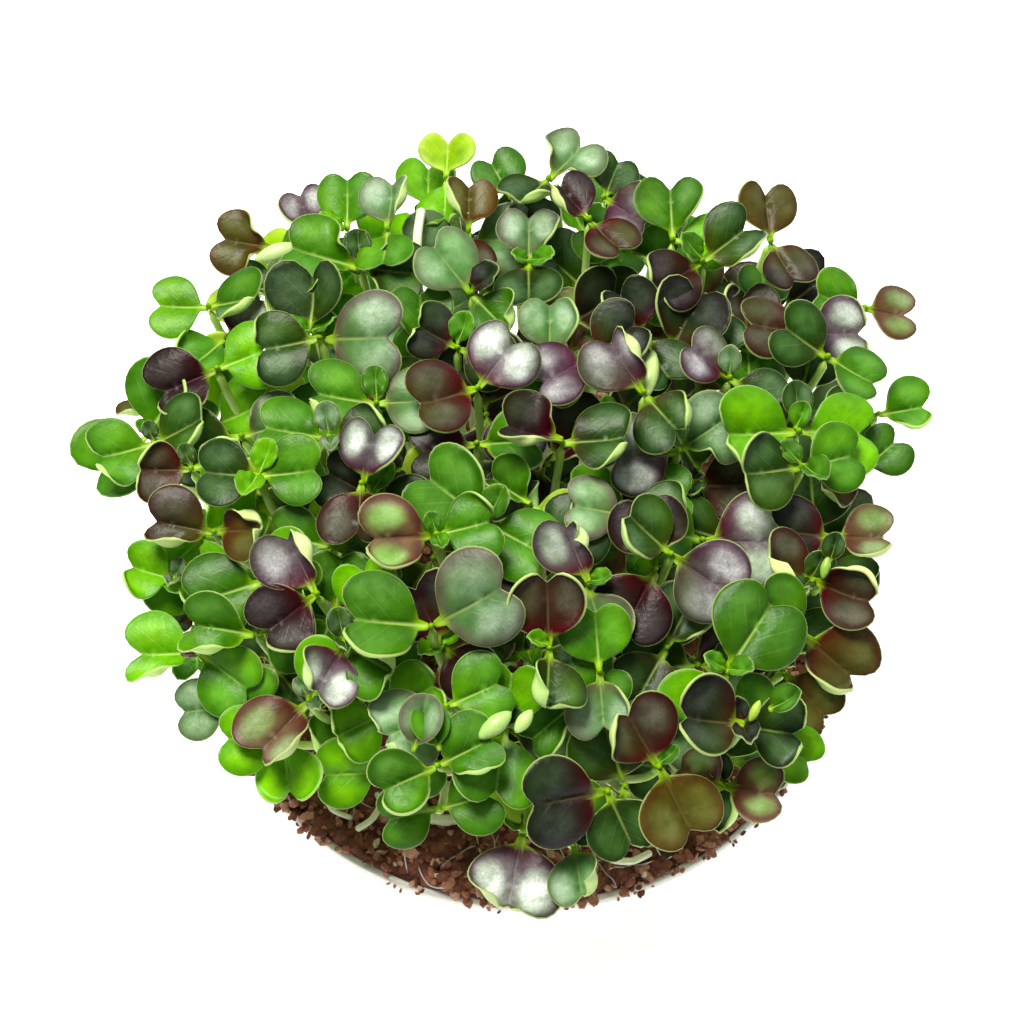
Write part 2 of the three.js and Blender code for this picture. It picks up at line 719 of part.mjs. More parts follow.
function seedlingSolid(seedling) {
  const body = { points: [], faces: [] };
  const origin = [seedling.x, seedling.y, seedling.z];
  const knuckle = knuckleRing(seedling, -BLADE_THICKNESS / 2);
  const angles = cornerAngles(seedling);
  const stemRing = ([x, y, z], radius) => addRing(body, angles.map((angle) => (
    [x + radius * Math.cos(angle), y + radius * Math.sin(angle), z]
  )));
  const rings = seedling.branches
    ? [stemRing([...seedling.root, TWIN_FOOT_HEIGHT], TWIN_FOOT_RADIUS)]
    : [
      stemRing([...seedling.root, ROOT_HEIGHT], STEM_RADIUS),
      stemRing([...seedling.root, STRAIGHT_TO], STEM_RADIUS),
    ];
  for (let k = 1; k < STEM_STEPS; k += 1) {
    rings.push(stemRing(bezierPoint(seedling.controls, k / STEM_STEPS), STEM_RADIUS));
  }
  rings.push(addRing(body, knuckle));
  for (let k = 1; k < rings.length; k += 1) {
    addWall(body, rings[k - 1], rings[k], [0, 1, 2, 3]);
  }
  const crown = addRing(body, knuckleRing(seedling, BLADE_THICKNESS / 2));
  addWall(body, rings[rings.length - 1], crown, [1, 3]);
  body.faces.push([crown, crown + 1, crown + 2], [crown, crown + 2, crown + 3]);
  body.faces.push([0, 2, 1], [0, 3, 2]);
  seedling.blades.forEach((blade) => addBlade(body, blade, origin));
  return solidFrom(body.points, body.faces);
}

// Joining can seal a small hollow or leave a loose scrap: only the largest
// body is kept, with its hollows filled.
function wholeBody(solid) {
  return solid.decompose().reduce((a, b) => (a.volume() > b.volume() ? a : b));
}

// Seedlings that share a root or touch grow into one body.
function groupSeedlings(seedlings) {
  const parent = seedlings.map((_, index) => index);
  const find = (index) => (parent[index] === index ? index : find(parent[index]));
  const join = (a, b) => {
    const roots = [find(a), find(b)].sort((p, q) => p - q);
    parent[roots[1]] = roots[0];
  };
  for (const a of seedlings) {
    if (a.twin >= 0) {
      join(a.index, a.twin);
    }
    for (const b of seedlings) {
      if (b.index <= a.index || !near(a, b) || find(a.index) === find(b.index)) {
        continue;
      }
      if (a.solid.intersect(b.solid).volume() > 0) {
        join(a.index, b.index);
      }
    }
  }
  const groups = new Map();
  for (const seedling of seedlings) {
    const key = find(seedling.index);
    groups.set(key, [...(groups.get(key) ?? []), seedling]);
  }
  return [...groups.values()];
}

// Coir: a low mound in the tray with a crumbly edge that swells over the rim.
function coirHeight(x, y) {
  const radius = Math.hypot(x, y) / COIR_EDGE_RADIUS;
  const bumps = Math.sin(0.71 * x + 1.3) * Math.cos(0.63 * y - 0.4)
    + 0.6 * Math.sin(0.37 * x - 0.52 * y);
  return COIR_EDGE_HEIGHT + COIR_CROWN * (1 - radius * radius) + COIR_BUMP * bumps;
}

function coirEdge(angle) {
  return COIR_EDGE_WAVES.reduce((radius, { size, count, phase }) => (
    radius + size * Math.sin(count * angle + phase)
  ), COIR_EDGE_RADIUS);
}

function coirSolid(roots) {
  const inside = TRAY_WALL + TOUCH_GAP;
  const lipInner = TRAY_RIM_RADIUS - TRAY_LIP - TOUCH_GAP;
  const rings = [
    () => [TRAY_BASE_RADIUS - inside, inside],
    () => [lipInner, TRAY_HEIGHT - TRAY_LIP_DEPTH],
    () => [lipInner, TRAY_HEIGHT + TOUCH_GAP],
    (angle) => [coirEdge(angle) - COIR_EDGE_ROUND / 2, TRAY_HEIGHT + TOUCH_GAP],
    (angle) => [coirEdge(angle), TRAY_HEIGHT + TOUCH_GAP + COIR_EDGE_ROUND / 2],
  ];
  for (let k = COIR_RINGS; k > 0; k -= 1) {
    rings.push((angle) => {
      const radius = (coirEdge(angle) - COIR_EDGE_ROUND) * (k / COIR_RINGS);
      return [radius, coirHeight(radius * Math.cos(angle), radius * Math.sin(angle))];
    });
  }
  const points = [[0, 0, inside]];
  rings.forEach((ring) => {
    for (let n = 0; n < COIR_SIDES; n += 1) {
      const angle = (n / COIR_SIDES) * 2 * Math.PI;
      const [radius, z] = ring(angle);
      points.push([radius * Math.cos(angle), radius * Math.sin(angle), z]);
    }
  });
  points.push([0, 0, coirHeight(0, 0)]);
  const faces = [];
  const last = points.length - 1;
  for (let n = 0; n < COIR_SIDES; n += 1) {
    const next = (n + 1) % COIR_SIDES;
    faces.push([0, 1 + next, 1 + n]);
    for (let k = 0; k < rings.length - 1; k += 1) {
      const a = 1 + k * COIR_SIDES;
      const b = a + COIR_SIDES;
      faces.push([a + n, a + next, b + next]);
      faces.push([a + n, b + next, b + n]);
    }
    faces.push([last, last - COIR_SIDES + n, last - COIR_SIDES + next]);
  }
  const bed = solidFrom(points, faces);
  return roots.reduce((solid, root) => solid.subtract(rootHole(root)), bed);
}

function rootHole([x, y]) {
  const height = HOLE_TOP - HOLE_FLOOR;
  const hole = new THREE.CylinderGeometry(HOLE_RADIUS, HOLE_RADIUS, height, HOLE_SIDES);
  hole.rotateX(Math.PI / 2);
  hole.translate(x, y, HOLE_FLOOR + height / 2);
  return toSolid(hole);
}

// Tray: one thin wall turned about the axis, with a flat base and a square lip.
function trayGeometry() {
  const rim = TRAY_RIM_RADIUS;
  const lipFoot = TRAY_HEIGHT - TRAY_LIP_DEPTH;
  const profile = [
    [0, 0],
    [TRAY_BASE_RADIUS, 0],
    [rim - TRAY_LIP_REACH, lipFoot],
    [rim, lipFoot + TRAY_LIP_ROUND],
    [rim, TRAY_HEIGHT - TRAY_LIP_ROUND],
    [rim - TRAY_LIP_ROUND, TRAY_HEIGHT],
    [rim - TRAY_LIP, TRAY_HEIGHT],
    [rim - TRAY_LIP, lipFoot],
    [TRAY_BASE_RADIUS - TRAY_WALL, TRAY_WALL],
    [0, TRAY_WALL],
  ];
  const points = profile.map(([radius, z]) => new THREE.Vector2(radius, z));
  const geometry = new THREE.LatheGeometry(points, TRAY_SIDES);
  geometry.rotateX(Math.PI / 2);
  return toGeometry(toSolid(geometry));
}

function material(color, roughness) {
  return new THREE.MeshStandardMaterial({ color, roughness, metalness: 0 });
}

function namedMesh(name, geometry, finish) {
  const mesh = new THREE.Mesh(geometry, finish);
  mesh.name = name;
  return mesh;
}

const seedlings = SEEDLINGS.map(makeSeedling);
settleSeedlings(seedlings);
plantRoots(seedlings);
routeStems(seedlings);
seedlings.forEach((seedling) => {
  seedling.solid = seedlingSolid(seedling);
});
const groups = groupSeedlings(seedlings);

const tray = new THREE.Group();
tray.add(namedMesh('tray', trayGeometry(), material(0xf2f1ec, 0.45)));
const roots = groups.flatMap((group) => group.map((seedling) => seedling.root));
const places = [...new Map(roots.map((root) => [root.join(), root])).values()];
tray.add(namedMesh('coir_bed', toGeometry(coirSolid(places)), material(0x6d4433, 0.95)));
for (const group of groups) {
  const body = wholeBody(group.map((seedling) => seedling.solid).reduce((a, b) => a.add(b)));
  const name = `seedlings_${group.map((seedling) => seedling.index + 1).join('_')}`;
  tray.add(namedMesh(name, toGeometry(body), material(TINTS[group[0].tints[0]], 0.5)));
}

export default tray;
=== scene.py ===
# %% [markdown]
# # A tray of pak choi microgreens
#
# About a hundred seedlings stand in a shallow round tray of coir. Each is a pale stem
# with two notched seed leaves. Some leaves are plain green, some olive or maroon, and
# some wear a silver bloom over purple. This lesson dresses a finished model of the
# tray: every solid is already at its real size, and finer pieces take its place.

# %% Load the solids that everything is fitted to
import math
from types import SimpleNamespace

import bmesh
import bpy
import numpy as np
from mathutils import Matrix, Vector, noise


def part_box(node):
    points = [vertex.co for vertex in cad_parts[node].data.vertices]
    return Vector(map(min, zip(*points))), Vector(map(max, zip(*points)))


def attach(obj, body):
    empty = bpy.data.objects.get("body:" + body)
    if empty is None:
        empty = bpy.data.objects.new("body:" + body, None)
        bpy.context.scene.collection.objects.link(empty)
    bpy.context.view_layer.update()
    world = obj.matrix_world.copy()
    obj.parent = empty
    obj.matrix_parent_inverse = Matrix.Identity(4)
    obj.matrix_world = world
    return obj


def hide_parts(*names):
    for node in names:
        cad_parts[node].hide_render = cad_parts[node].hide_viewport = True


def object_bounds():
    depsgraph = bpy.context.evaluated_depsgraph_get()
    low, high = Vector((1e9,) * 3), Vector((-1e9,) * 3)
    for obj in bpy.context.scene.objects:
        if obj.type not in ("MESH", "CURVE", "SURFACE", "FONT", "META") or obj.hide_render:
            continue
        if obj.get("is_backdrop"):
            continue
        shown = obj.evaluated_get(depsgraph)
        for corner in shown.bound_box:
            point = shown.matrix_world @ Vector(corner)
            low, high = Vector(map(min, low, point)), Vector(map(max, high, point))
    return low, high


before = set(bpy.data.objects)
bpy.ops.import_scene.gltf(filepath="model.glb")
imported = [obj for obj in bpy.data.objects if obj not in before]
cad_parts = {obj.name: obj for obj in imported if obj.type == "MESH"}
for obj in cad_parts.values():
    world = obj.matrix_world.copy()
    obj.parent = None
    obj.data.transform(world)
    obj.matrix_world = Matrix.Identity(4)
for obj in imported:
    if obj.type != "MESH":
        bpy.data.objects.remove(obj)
cad_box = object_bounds()
MM = 0.001
seedling_nodes = sorted(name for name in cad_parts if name.startswith("seedlings_"))
print("solids:", len(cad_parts), "of which", len(seedling_nodes), "hold seedlings")

# %% [markdown]
# ## Colours
#
# Colours are easiest to choose as the hex values that a paint program shows, but
# Blender mixes light in linear values. One function turns the first into the second,
# and everything below names its colours through it.

# %% Turn a hex colour into Blender's linear values
# The sRGB curve is a straight line up to its knee, and a power above it.
HEX_BASE = 16
SRGB_KNEE, SRGB_SLOPE, SRGB_OFFSET, SRGB_POWER = 0.04045, 12.92, 0.055, 2.4


def colour(hex_value):
    parts = [int(hex_value[k:k + 2], HEX_BASE) / 255 for k in (0, 2, 4)]
    curve = [((part + SRGB_OFFSET) / (1 + SRGB_OFFSET)) ** SRGB_POWER for part in parts]
    line = [part / SRGB_SLOPE for part in parts]
    values = [line[k] if parts[k] <= SRGB_KNEE else curve[k] for k in range(3)]
    return (*values, 1.0)


print("leaf green in linear values:", [round(p, 3) for p in colour("3f7d2a")[:3]])

# %% [markdown]
# ## Where the seedlings stand
#
# The solids were laid out by a rule: one row a seedling, then every seedling settles
# at a free place in the canopy. Finer leaves have to lie where the solid ones do, so
# this script repeats the same table and the same rule, in millimetres, and checks the
# result against the solids. The other way would be to read the places back from the
# solids' corners, but a rule is easier to read and gives each leaf its own axes.

# %% The table of seedlings
# One row a seedling, in the order in which the eye finds them from the front:
# x, y, lift above the canopy's dome, then for each seed leaf its heading in degrees
# from +X, its width and its colour, and last how far the first leaf is cupped.
SEEDLINGS = [
    (39, 7, 3, 188, 13.5, "bright", 5, 13, "bright", -0.1),
    (41, 26, 2, 180, 11, "brown", 8, 11.5, "silver", -0.1),
    (-7, 12.5, 2, 50, 11.5, "silver", 205, 12, "brown", -0.1),
    (-23, -4, 3, 75, 10.5, "silver", 265, 11, "brown", -0.15),
    (-13, -26, 2, 20, 14.5, "sage", 180, 14.5, "olive", -0.1),
    (3, -29.5, 3, 92, 12.5, "brown", 268, 11, "dark", -0.1),
    (18, -43, 1, 130, 12, "brown", -60, 12.5, "olive", -0.1),
    (29.5, -37.5, 2, 185, 12.5, "black", -5, 10.5, "dark", 0.3),
    (27.5, -31, 3, 55, 14.5, "green", 225, 12, "bright", -0.12),
    (18, -16, 1, 100, 11.5, "maroon", 240, 12, "maroon", -0.1),
    (20, -15, 3, -30, 12.5, "purple", 150, 10.5, "dark", -0.1),
    (25, -11, 0, 0, 14.5, "sage", 180, 11, "green", -0.1),
    (22, 3, 1, 195, 12.5, "silver", 30, 11.5, "sage", -0.1),
    (5, 2.5, 3, 170, 11, "maroon", 0, 11.5, "dark", 0.3),
    (-5.5, -9.5, 1, 150, 14, "sage", -30, 11.5, "green", -0.15),
    (-12.5, -10.5, 0, 190, 12.5, "olive", 10, 10.5, "green", -0.1),
    (2, -15.5, 1, 215, 13.5, "maroon", 35, 11.5, "dark", -0.1),
    (8.5, -20.5, 3, 112, 11.5, "silver", -70, 10.5, "sage", 0.25),
    (17, 12, 2, 125, 12, "purple", -55, 11, "dark", -0.1),
    (9.5, 19, 1, 210, 11.5, "purple", 30, 10.5, "black", -0.1),
    (3.5, 21, -1, 90, 10, "sage", 270, 10.5, "green", -0.1),
    (-15.5, 21.5, 0, 90, 10.5, "green", 270, 11, "dark", 0.1),
    (-30, 22.5, 2, -10, 14.5, "sage", 190, 11.5, "dark", -0.2),
    (-21.5, 11.5, 0, 175, 12, "green", 0, 10.5, "sage", -0.1),
    (-24.5, 37.5, 0, 170, 13.5, "green", -10, 11, "dark", -0.1),
    (-8, 30.5, 0, 135, 11.5, "sage", -45, 10.5, "green", -0.1),
    (0.5, 37, 0, 90, 10.5, "sage", 270, 10.5, "dark", -0.1),
    (3.5, 53.5, 0, 50, 11, "sage", 230, 9.5, "dark", 0),
    (12, 51, 0, 70, 8.5, "dark", -40, 10.5, "purple", 0),
    (9.5, 46, -1, 130, 9, "maroon", -50, 9.5, "brown", 0),
    (22, 42, 1, 92, 11, "bright", -5, 10.5, "bright", 0.1),
    (37, 45, 0, 95, 10.5, "olive", -60, 9.5, "brown", 0),
    (26, 38.5, 0, 35, 11.5, "dark", 215, 10.5, "maroon", 0),
    (27.5, 31.5, -1, 120, 10, "sage", -60, 10.5, "green", -0.1),
    (24, 26.5, 0, 140, 10.5, "bright", -40, 10.5, "dark", -0.1),
    (33, 24, 0, 95, 10.5, "brown", 270, 10.5, "green", 0.35),
    (51, 36, -1, 0, 9.5, "dark", 180, 10, "green", 0),
    (44, 24, -1, -25, 10, "green", 155, 10.5, "dark", 0),
    (52, 16.5, -2, 15, 9.5, "green", 195, 10, "dark", 0),
    (49, 5.5, -1, 40, 8.5, "green", 205, 9, "olive", 0),
    (43.5, -6.5, -1, 0, 10, "olive", 180, 10.5, "black", 0),
    (39, 3, 0, 200, 12, "dark", 20, 10.5, "green", -0.1),
    (40, -15.5, 1, -20, 11.5, "brown", 165, 10.5, "lime", 0.4),
    (44, -10, -3, -5, 9.5, "dark", 175, 10, "green", 0),
    (38.5, -22, 0, -32, 13, "olive", 150, 11, "green", -0.1),
    (36, -27, -2, -40, 11, "olive", 140, 10.5, "dark", 0),
    (34, -34, -4, -35, 9, "bright", 145, 9.5, "green", 0),
    (10, -31, 0, -85, 10.5, "sage", 95, 10.5, "green", -0.1),
    (19.5, -26, -1, 240, 11.5, "dark", 60, 10.5, "dark", 0),
    (11, -46, 1, 195, 13.5, "black", -60, 10.5, "dark", -0.1),
    (-0.5, -50.5, -3, 258, 14, "silver", 80, 10.5, "lime", -0.1),
    (6.5, -51, -6, -80, 10, "sage", 100, 10.5, "green", 0),
    (-3, -38.5, 0, 262, 13, "green", 80, 10.5, "bright", -0.1),
    (6.5, -35, -2, 215, 9.5, "green", 35, 10, "green", 0),
    (-10, -42, 0, 200, 10.5, "dark", 20, 10.5, "green", 0.3),
    (-11, -45.5, -5, 190, 9.5, "lime", 10, 10, "green", 0),
    (-11, -36, 1, 205, 12.5, "sage", 20, 10.5, "dark", -0.3),
    (-19.5, -35.5, -2, 205, 9.5, "bright", 25, 10, "green", 0),
    (-18, -41, -5, 185, 10.5, "lime", 5, 10.5, "green", 0),
    (-28.5, -33.5, 1, 225, 12.5, "brown", 45, 10.5, "green", -0.1),
    (-25, -28, 3, -120, 10.5, "silver", -35, 11, "lime", 0.25),
    (-21, -22.5, -1, 110, 9.5, "bright", -70, 10, "dark", 0.1),
    (-27.5, -11.5, -1, -10, 12, "sage", 170, 10.5, "dark", 0),
    (-29, -20, 2, 120, 12, "brown", 212, 11.5, "maroon", 0.25),
    (-36.5, -24.5, 1, 170, 12, "olive", 20, 10.5, "sage", 0.2),
    (-46, -24, -1, 178, 12, "olive", -35, 11, "green", 0),
    (-37, -10.5, -1, 195, 12.5, "green", 15, 10.5, "bright", -0.1),
    (-44, -8, 1, 170, 11.5, "brown", -10, 10.5, "lime", -0.1),
    (-50, -12, -2, 165, 9, "lime", -20, 9.5, "green", 0.2),
    (-54, 9, 0, 195, 11, "green", 15, 10.5, "lime", 0.2),
    (-48, 3, 0, 185, 9.5, "brown", 5, 10, "green", 0.1),
    (-53, 15, -1, 150, 9, "olive", -30, 9.5, "green", 0),
    (-41.5, 8.5, 0, 190, 12.5, "dark", 10, 10.5, "sage", 0.1),
    (-45, 19.5, 2, 198, 12, "maroon", 18, 10.5, "lime", -0.1),
    (-44.5, 25.5, 1, 45, 10, "silver", 225, 10.5, "lime", -0.1),
    (-47, 32, -1, 175, 10, "bright", -5, 10.5, "green", 0),
    (-38, 44, -1, 170, 10.5, "olive", -10, 9.5, "green", 0),
    (-36, 38.5, -2, 175, 9.5, "dark", -5, 10, "lime", 0.2),
    (-27, 46, -1, 90, 10, "green", 270, 9.5, "green", 0),
    (-32.5, 48, -3, 110, 8.5, "purple", 280, 9.5, "green", 0),
    (-15, 50, -1, 90, 10.5, "bright", 270, 9.5, "green", 0),
    (-12, 55, 0, 88, 9, "lime", 268, 9.5, "green", 0),
    (-20.5, 41.5, -1, 85, 9.5, "sage", 265, 9.5, "green", 0.1),
    (-7.5, 46, -1, 90, 9.5, "olive", 270, 9.5, "brown", 0),
    (-2, 53, -2, 120, 9, "green", -60, 9.5, "dark", 0),
    (17, 25, -2, 120, 10, "black", -60, 10.5, "dark", 0),
    (-28, 7, 0, 175, 11.5, "green", -5, 10.5, "dark", -0.1),
    (-34.5, 1, -1, 180, 10, "dark", 0, 10.5, "green", 0.2),
    (-26.5, -2, -2, 160, 9.5, "black", -20, 10, "dark", 0),
    (-7, 5, 0, 185, 11, "maroon", 5, 10.5, "green", -0.1),
    (-3, 0.5, -1, 95, 9.5, "purple", 275, 10, "dark", 0),
    (13.5, 0, -1, 180, 10.5, "bright", 0, 10.5, "green", -0.1),
    (12, -5, -2, 175, 10, "sage", -5, 10.5, "dark", -0.1),
    (0.5, -5.5, 0, 150, 9, "green", -30, 9.5, "lime", 0.35),
    (31, -6, -2, -10, 11, "black", 170, 10.5, "dark", 0),
    (29.5, 18.5, -2, 150, 9.5, "purple", -30, 10, "dark", 0),
    (-34, -36.5, -2, 185, 10, "green", -80, 10.5, "green", 0),
    (-10, 22, -2, 160, 9, "black", -20, 9.5, "dark", 0),
    (37, 35, -2, 100, 9, "green", 280, 9.5, "dark", 0),
    (-41.5, -30, -4, 180, 9, "sage", 0, 9.5, "green", 0),
]
print("seedlings:", len(SEEDLINGS))

# %% The sizes that the layout uses
# Shares are of a leaf's width, slopes are rise over run, and lengths are in millimetres.
# A range is a low and a high end, between which each leaf draws its own value.
PETIOLE_SHARE = 0.12
STALK_HALF_WIDTH = 0.5
BLADE_MIDDLE = 0.43
BLADE_REACH = 0.83
BROAD, OVAL, EGG = 0.45, 0.05, 0.01
NOTCH_TURN, HEEL, HEEL_TURN = 0.42, 0.04, 0.35
LIGHT_SLOPE = 0.42
OUTWARD_SLOPE = 0.3
PITCH_RANGE = (-0.1, 0.4)
ROLL_RANGE = (-0.32, 0.32)
NOTCH_RANGE = (0.17, 0.28)
LOPSIDED_RANGE = (-0.07, 0.07)
FOLD_RANGE = (-0.04, 0.18)
BOWL_JITTER = (-0.06, 0.06)
SECOND_BOWL = (-0.12, 0.1)
CANOPY_CENTRE = (-2, -2)
CANOPY_RADIUS = 60
CANOPY_TOP = 61
SIDE_DROP = 13
FRONT_BACK_DROP = 9
print("the canopy's dome, mm:", 2 * CANOPY_RADIUS, "across and", CANOPY_TOP, "high")

# %% Small helpers for numbers and directions
MODULUS, MULTIPLIER = 2147483647, 48271
SEED_STEP, SEED_START = 7919, 104729
TINY = 1e-6


def lerp(low, high, share):
    return low + (high - low) * share


def smooth_step(low, high, value):
    share = np.clip((value - low) / (high - low), 0.0, 1.0)
    return share * share * (3 - 2 * share)


def unit(vector):
    return np.array(vector, float) / math.hypot(*vector)


def seeded_draws(seed):
    """A run of draws between 0 and 1, the same each time it is run."""
    state = (seed * SEED_STEP + SEED_START) % MODULUS

    def draw():
        nonlocal state
        state = (state * MULTIPLIER) % MODULUS
        return state / MODULUS

    draw()
    draw()
    return draw


print("the first draw from seed 1:", round(seeded_draws(1)(), 3))

# %% [markdown]
# ## The canopy and the form of a seed leaf
#
# From the side the seedlings' tops make a low dome, which falls further at the front
# than at the back, because they lean towards the light. A seed leaf is nearly round,
# with a notch at its tip and a short stalk. It could be traced from the photo leaf by
# leaf, but a distance from the leaf's middle that changes with the angle draws them
# all, and two or three numbers make each one different.

# %% The dome and the leaf
BOWL_LENGTHWISE = 0.6


def canopy_height(x, y):
    dx = x - CANOPY_CENTRE[0]
    dy = y - CANOPY_CENTRE[1]
    radius = math.hypot(dx, dy) + TINY
    drop = SIDE_DROP - FRONT_BACK_DROP * (dy / radius)
    return CANOPY_TOP - drop * (radius / CANOPY_RADIUS) ** 3


def outline_radius(blade, angle):
    """The outline about the leaf's middle: broad, with a round notch at the tip."""
    turn = np.abs(angle)
    broad = BROAD - OVAL * np.cos(2 * angle) + EGG * np.cos(angle)
    notch = blade.notch * np.exp(-((turn / NOTCH_TURN) ** 2))
    heel = HEEL * np.exp(-(((math.pi - turn) / HEEL_TURN) ** 2))
    return blade.width * (broad - notch + heel) * (1 + blade.lopsided * np.sin(angle))


def blade_rise(blade, ahead, across):
    """How far the surface rises from the leaf's own plane."""
    half = blade.width / 2
    across = across / half
    ahead = ahead / half
    bowl = blade.bowl * (across * across + BOWL_LENGTHWISE * ahead * ahead)
    return half * (bowl + blade.fold * np.abs(across))


def make_blade(row, heading, width, bowl, draw):
    turn = math.radians(heading)
    ahead = (math.cos(turn), math.sin(turn))
    aside = (-ahead[1], ahead[0])
    pitch = lerp(*PITCH_RANGE, draw())
    roll = lerp(*ROLL_RANGE, draw())
    slope = []
    for k in (0, 1):
        outward = -OUTWARD_SLOPE * (row[k] - CANOPY_CENTRE[k]) / CANOPY_RADIUS
        light = LIGHT_SLOPE if k == 1 else 0
        slope.append(outward + light + pitch * ahead[k] + roll * aside[k])
    along = unit((*ahead, slope[0] * ahead[0] + slope[1] * ahead[1]))
    normal = unit((-slope[0], -slope[1], 1))
    petiole = PETIOLE_SHARE * width
    return SimpleNamespace(
        along=along,
        normal=normal,
        side=np.cross(normal, along),
        width=width,
        petiole=petiole,
        middle=petiole + BLADE_MIDDLE * width,
        reach=petiole + BLADE_REACH * width,
        notch=lerp(*NOTCH_RANGE, draw()),
        lopsided=lerp(*LOPSIDED_RANGE, draw()),
        fold=lerp(*FOLD_RANGE, draw()),
        bowl=bowl + lerp(*BOWL_JITTER, draw()),
    )


print("the dome falls from", CANOPY_TOP, "to", round(canopy_height(0, -CANOPY_RADIUS), 1),
      "mm at the front and to", round(canopy_height(0, CANOPY_RADIUS), 1), "mm at the back")

# %% Places on a leaf, and its height over a place on the plan
# Each ring of sample places has a number of them, at a share of the way to the edge.
SAMPLE_RINGS = ((12, 1), (6, 0.55))


def blade_point(blade, ahead, across):
    rise = blade_rise(blade, ahead - blade.middle, across)
    return ahead * blade.along + across * blade.side + rise * blade.normal


def blade_samples(blade):
    samples = [blade_point(blade, blade.petiole, 0), blade_point(blade, blade.middle, 0)]
    for count, share in SAMPLE_RINGS:
        for k in range(count):
            angle = (k - (count - 1) / 2) * 2 * math.pi / count
            radius = share * outline_radius(blade, angle)
            ahead = blade.middle + radius * math.cos(angle)
            samples.append(blade_point(blade, ahead, radius * math.sin(angle)))
    return np.array(samples)


def blade_height(blade, x, y, margin):
    """The leaf's height over places on the plan, and nan where it doesn't reach."""
    along, side, normal = blade.along, blade.side, blade.normal
    det = along[0] * side[1] - along[1] * side[0]
    ahead = (x * side[1] - y * side[0]) / det
    across = (along[0] * y - along[1] * x) / det
    forward = ahead - blade.middle
    edge = outline_radius(blade, np.arctan2(across, forward)) + margin
    on_blade = np.hypot(forward, across) <= edge
    on_stalk = (ahead > -margin) & (ahead < blade.middle)
    on_stalk = on_stalk & (np.abs(across) < STALK_HALF_WIDTH + margin)
    height = along[2] * ahead + side[2] * across + normal[2] * blade_rise(blade, forward, across)
    within = np.hypot(x, y) <= blade.reach + margin
    return np.where(within & (on_blade | on_stalk), height, np.nan)


def make_seedling(row, index):
    draw = seeded_draws(index + 1)
    x, y, lift, heading_a, width_a, tint_a, heading_b, width_b, tint_b, bowl = row
    blade_a = make_blade(row, heading_a, width_a, bowl, draw)
    second_bowl = lerp(*SECOND_BOWL, draw())
    blade_b = make_blade(row, heading_b, width_b, second_bowl, draw)
    return SimpleNamespace(
        index=index, x=x, y=y, z=0.0, lift=lift, home_height=canopy_height(x, y) + lift,
        blades=[blade_a, blade_b], samples=[blade_samples(blade_a), blade_samples(blade_b)],
        headings=[heading_a, heading_b], tints=[tint_a, tint_b],
        root=None, twin=-1, path=None, controls=None,
    )


seedlings = [make_seedling(row, index) for index, row in enumerate(SEEDLINGS)]
print("widest seed leaf, mm:", max(blade.width for s in seedlings for blade in s.blades))

# %% [markdown]
# ## Settling the canopy
#
# Real seedlings push one another aside until every leaf has light. Here the tallest
# settle first, and each next one takes the cheapest free place: near its home, not
# through another leaf, and not with its stem through one. Testing every place against
# every neighbour is slow in plain Python, so each test handles all steps to the side
# at once, as one array.

# %% Where two leaves would meet
# Lengths are in millimetres. A cost weighs a fault against a longer way from home.
HEIGHT_STEP = 0.5
HEIGHT_SEARCH_UP = 5
HEIGHT_SEARCH_DOWN = 14
SIDE_STEPS = (1.5, 3, 4.5)
STEP_TURNS = 8
NEIGHBOUR_REACH = 40
BLADE_BOUND = 0.62
LEAF_MARGIN = 0.4
LEAF_CLEARANCE = 1.15
STEM_MARGIN = 0.8
STEM_CLEARANCE = 1.5
STEM_SIDE_GAP = 2.2
STEM_RISE_GAP = 2.5
VIEW_ANGLE = math.radians(58)
CROSSING_COST = 12
STEM_COST = 4
SHIFT_COST = 1
HEIGHT_COST = 0.35
STEM_LEAF_HIT = 3
STEM_STEM_HIT = 2


def ring_steps(sizes):
    steps = [(0.0, 0.0)]
    for size in sizes:
        for k in range(STEP_TURNS):
            turn = (k / STEP_TURNS) * 2 * math.pi
            steps.append((size * math.cos(turn), size * math.sin(turn)))
    return np.array(steps)


def meeting_span(mover, mover_blade, fixed, fixed_blade, places):
    """For each place, the lowest and highest z at which two leaves would meet."""
    offset = places - (fixed.x, fixed.y)
    own = mover.samples[mover_blade]
    x = offset[:, :1] + own[:, 0]
    y = offset[:, 1:] + own[:, 1]
    over = fixed.z + blade_height(fixed.blades[fixed_blade], x, y, LEAF_MARGIN) - own[:, 2]
    other = fixed.samples[fixed_blade]
    x = other[:, 0] - offset[:, :1]
    y = other[:, 1] - offset[:, 1:]
    under = fixed.z + other[:, 2] - blade_height(mover.blades[mover_blade], x, y, LEAF_MARGIN)
    both = np.hstack([over, under])
    low = np.where(np.isnan(both), np.inf, both).min(axis=1) - LEAF_CLEARANCE
    high = np.where(np.isnan(both), -np.inf, both).max(axis=1) + LEAF_CLEARANCE
    return low, high


def far_apart(mover, a, fixed, b, places):
    """Whether two leaves are out of each other's reach at every place."""
    own, other = mover.blades[a], fixed.blades[b]
    centre = other.middle * other.along[:2] - own.middle * own.along[:2] + (fixed.x, fixed.y)
    gap = np.hypot(*(places - centre).T).min()
    return gap > BLADE_BOUND * (own.width + other.width) + LEAF_MARGIN


print("places that each seedling can step to:", len(ring_steps(SIDE_STEPS)))

